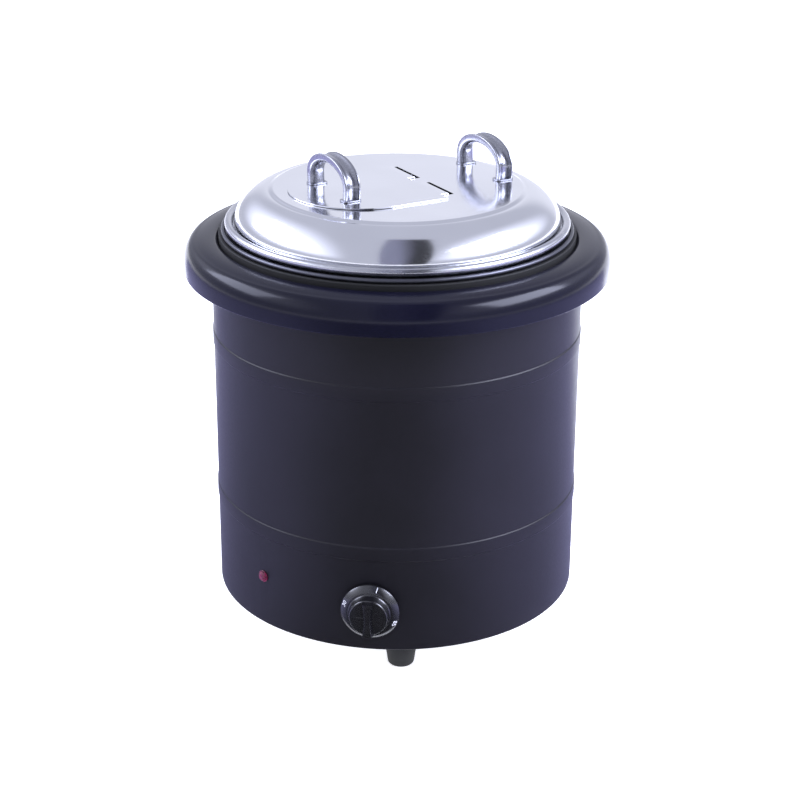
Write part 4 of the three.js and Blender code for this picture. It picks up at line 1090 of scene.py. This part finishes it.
def studio_sheet(name, points, dark, light, socket, low, high):
    """A flat sheet of paper that shades from dark to light along one of its own measures."""
    mesh = bpy.data.meshes.new(name)
    mesh.from_pydata(points, [], [tuple(range(len(points)))])
    sheet = bpy.data.objects.new(name, mesh)
    paper, tree, shader, place = new_material(name, Roughness=1.0, Specular_IOR_Level=0.0)
    parts = node(tree, "ShaderNodeSeparateXYZ", {"Vector": place}).outputs
    if socket == "turn":
        front = node(tree, "ShaderNodeMath", {0: parts["Y"], 1: -1.0}, operation="MULTIPLY").outputs[0]
        turn = node(tree, "ShaderNodeMath", {0: parts["X"], 1: front}, operation="ARCTAN2").outputs[0]
        measure = node(tree, "ShaderNodeMath", {0: turn}, operation="ABSOLUTE").outputs[0]
    else:
        measure = parts[socket]
    share = node(tree, "ShaderNodeMapRange", {"Value": measure, "From Min": low, "From Max": high},
                 interpolation_type="SMOOTHSTEP")
    shade = node(tree, "ShaderNodeMix", {0: share.outputs[0], 6: dark, 7: light}, data_type="RGBA")
    tree.links.new(shade.outputs[2], shader.inputs["Base Color"])
    mesh.materials.append(paper)
    bpy.context.scene.collection.objects.link(sheet)
    sheet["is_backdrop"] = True
    return sheet


def only_reflected(sheet, turn):
    sheet.matrix_world = Matrix.Rotation(math.radians(turn), 4, "Z")
    sheet.visible_camera = False
    sheet.visible_diffuse = False
    sheet.visible_shadow = False


def toward_turn(turn, rise):
    """The way from the kettle at a turn from the front, towards +X, and a rise, both in degrees."""
    a = math.radians(turn)
    e = math.radians(rise)
    return Vector((math.sin(a) * math.cos(e), -math.cos(a) * math.cos(e), math.sin(e)))


def panel(name, width, height, turn, rise, distance, power):
    """A soft box aimed at the kettle's middle. The turn is from the front, towards +X."""
    light = bpy.data.lights.new(name, "AREA")
    light.shape = "RECTANGLE"
    light.size = width
    light.size_y = height
    light.energy = power
    light.color = linear(DAYLIGHT)[:3]
    lamp = in_scene(name, light)
    away = toward_turn(turn, rise)
    lamp.location = Vector(VIEW_AIM) + away * distance
    lamp.rotation_euler = away.to_track_quat("Z", "Y").to_euler()
    lamp.visible_camera = False
    return lamp


corners = [(x * FLOOR_HALF, y * FLOOR_HALF, 0) for x, y in ((-1, -1), (1, -1), (1, 1), (-1, 1))]
floor = studio_sheet("floor", corners, (0.94, 0.94, 0.94, 1), (0.96, 0.96, 0.96, 1),
                     "X", -FLOOR_HALF, FLOOR_HALF)
floor_shader = floor.active_material.node_tree.nodes["Principled BSDF"]
floor_shader.inputs["Emission Color"].default_value = (1, 1, 1, 1)
floor_shader.inputs["Emission Strength"].default_value = FLOOR_GLOW
card_corners = [(-0.36, -1.7, 0.35), (0.53, -1.7, 0.35), (0.34, -0.12, 1.9), (-0.10, -0.12, 1.9)]
card = studio_sheet("dark_card", card_corners, (0.13, 0.13, 0.16, 1), (0.02, 0.02, 0.02, 1),
                    "X", -0.05, 0.25)
only_reflected(card, CARD_TURN)
edges = [math.radians(FLAG_HALF_TURN * k / 24) for k in range(-24, 25)]
rim_near = [(FLAG_NEAR * math.sin(a), -FLAG_NEAR * math.cos(a), 0.002) for a in edges]
rim_far = [(FLAG_FAR * math.sin(a), -FLAG_FAR * math.cos(a), 0.002) for a in reversed(edges)]
flag = studio_sheet("dark_flag", rim_near + rim_far, (0.03, 0.03, 0.03, 1), (0.40, 0.38, 0.54, 1), "turn",
                    math.radians(8), math.radians(62))
only_reflected(flag, FLAG_TURN)

panel("left_box", 1.7, 1.0, -92, 34, 2.2, 34)
panel("right_box", 1.7, 1.1, 84, 37, 2.2, 75)
top_box = panel("top_box", 10, 10, 0, 90, 3, 140)
top_box.visible_glossy = False

world = bpy.data.worlds.new("studio")
world.use_nodes = True
bpy.context.scene.world = world
sky_tree = world.node_tree
toward = node(sky_tree, "ShaderNodeTexCoord").outputs["Generated"]
parts = node(sky_tree, "ShaderNodeSeparateXYZ", {"Vector": toward}).outputs
share = node(sky_tree, "ShaderNodeMapRange", {"Value": parts["Y"], "From Min": 0.85, "From Max": 0.97},
             interpolation_type="SMOOTHSTEP")
glow = node(sky_tree, "ShaderNodeMix", {0: share.outputs[0], 6: SIDE_SKY, 7: BACK_SKY}, data_type="RGBA")
# A soft halo round each side box, above the horizon.
across = node(sky_tree, "ShaderNodeMath", {0: parts["X"]}, operation="ABSOLUTE").outputs[0]
wide = node(sky_tree, "ShaderNodeMapRange", {"Value": across, "From Min": 0.4, "From Max": 0.8},
            interpolation_type="SMOOTHSTEP").outputs[0]
high = node(sky_tree, "ShaderNodeMapRange", {"Value": parts["Z"], "From Min": 0.1, "From Max": 0.45},
            interpolation_type="SMOOTHSTEP").outputs[0]
both = node(sky_tree, "ShaderNodeMath", {0: wide, 1: high}, operation="MULTIPLY").outputs[0]
halo = node(sky_tree, "ShaderNodeMath", {0: both, 1: HALO, 2: 1.0}, operation="MULTIPLY_ADD").outputs[0]
backdrop = sky_tree.nodes["Background"]
sky_tree.links.new(glow.outputs[2], backdrop.inputs["Color"])
sky_tree.links.new(halo, backdrop.inputs["Strength"])

lens_data = bpy.data.cameras.new("view")
lens_data.lens = VIEW_LENS
lens_data.clip_start = 0.05
lens_data.clip_end = 60
camera = in_scene("view", lens_data)
away = toward_turn(VIEW_TURN, VIEW_RISE)
camera.matrix_world = (Matrix.Translation(Vector(VIEW_AIM) + away * VIEW_DISTANCE)
                       @ Matrix.Rotation(math.radians(VIEW_TURN), 4, "Z")
                       @ Matrix.Rotation(math.pi / 2 - math.radians(VIEW_RISE), 4, "X")
                       @ Matrix.Rotation(math.radians(VIEW_ROLL), 4, "Z"))
bpy.context.scene.camera = camera
bpy.context.scene.view_settings.view_transform = "Standard"

low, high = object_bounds()
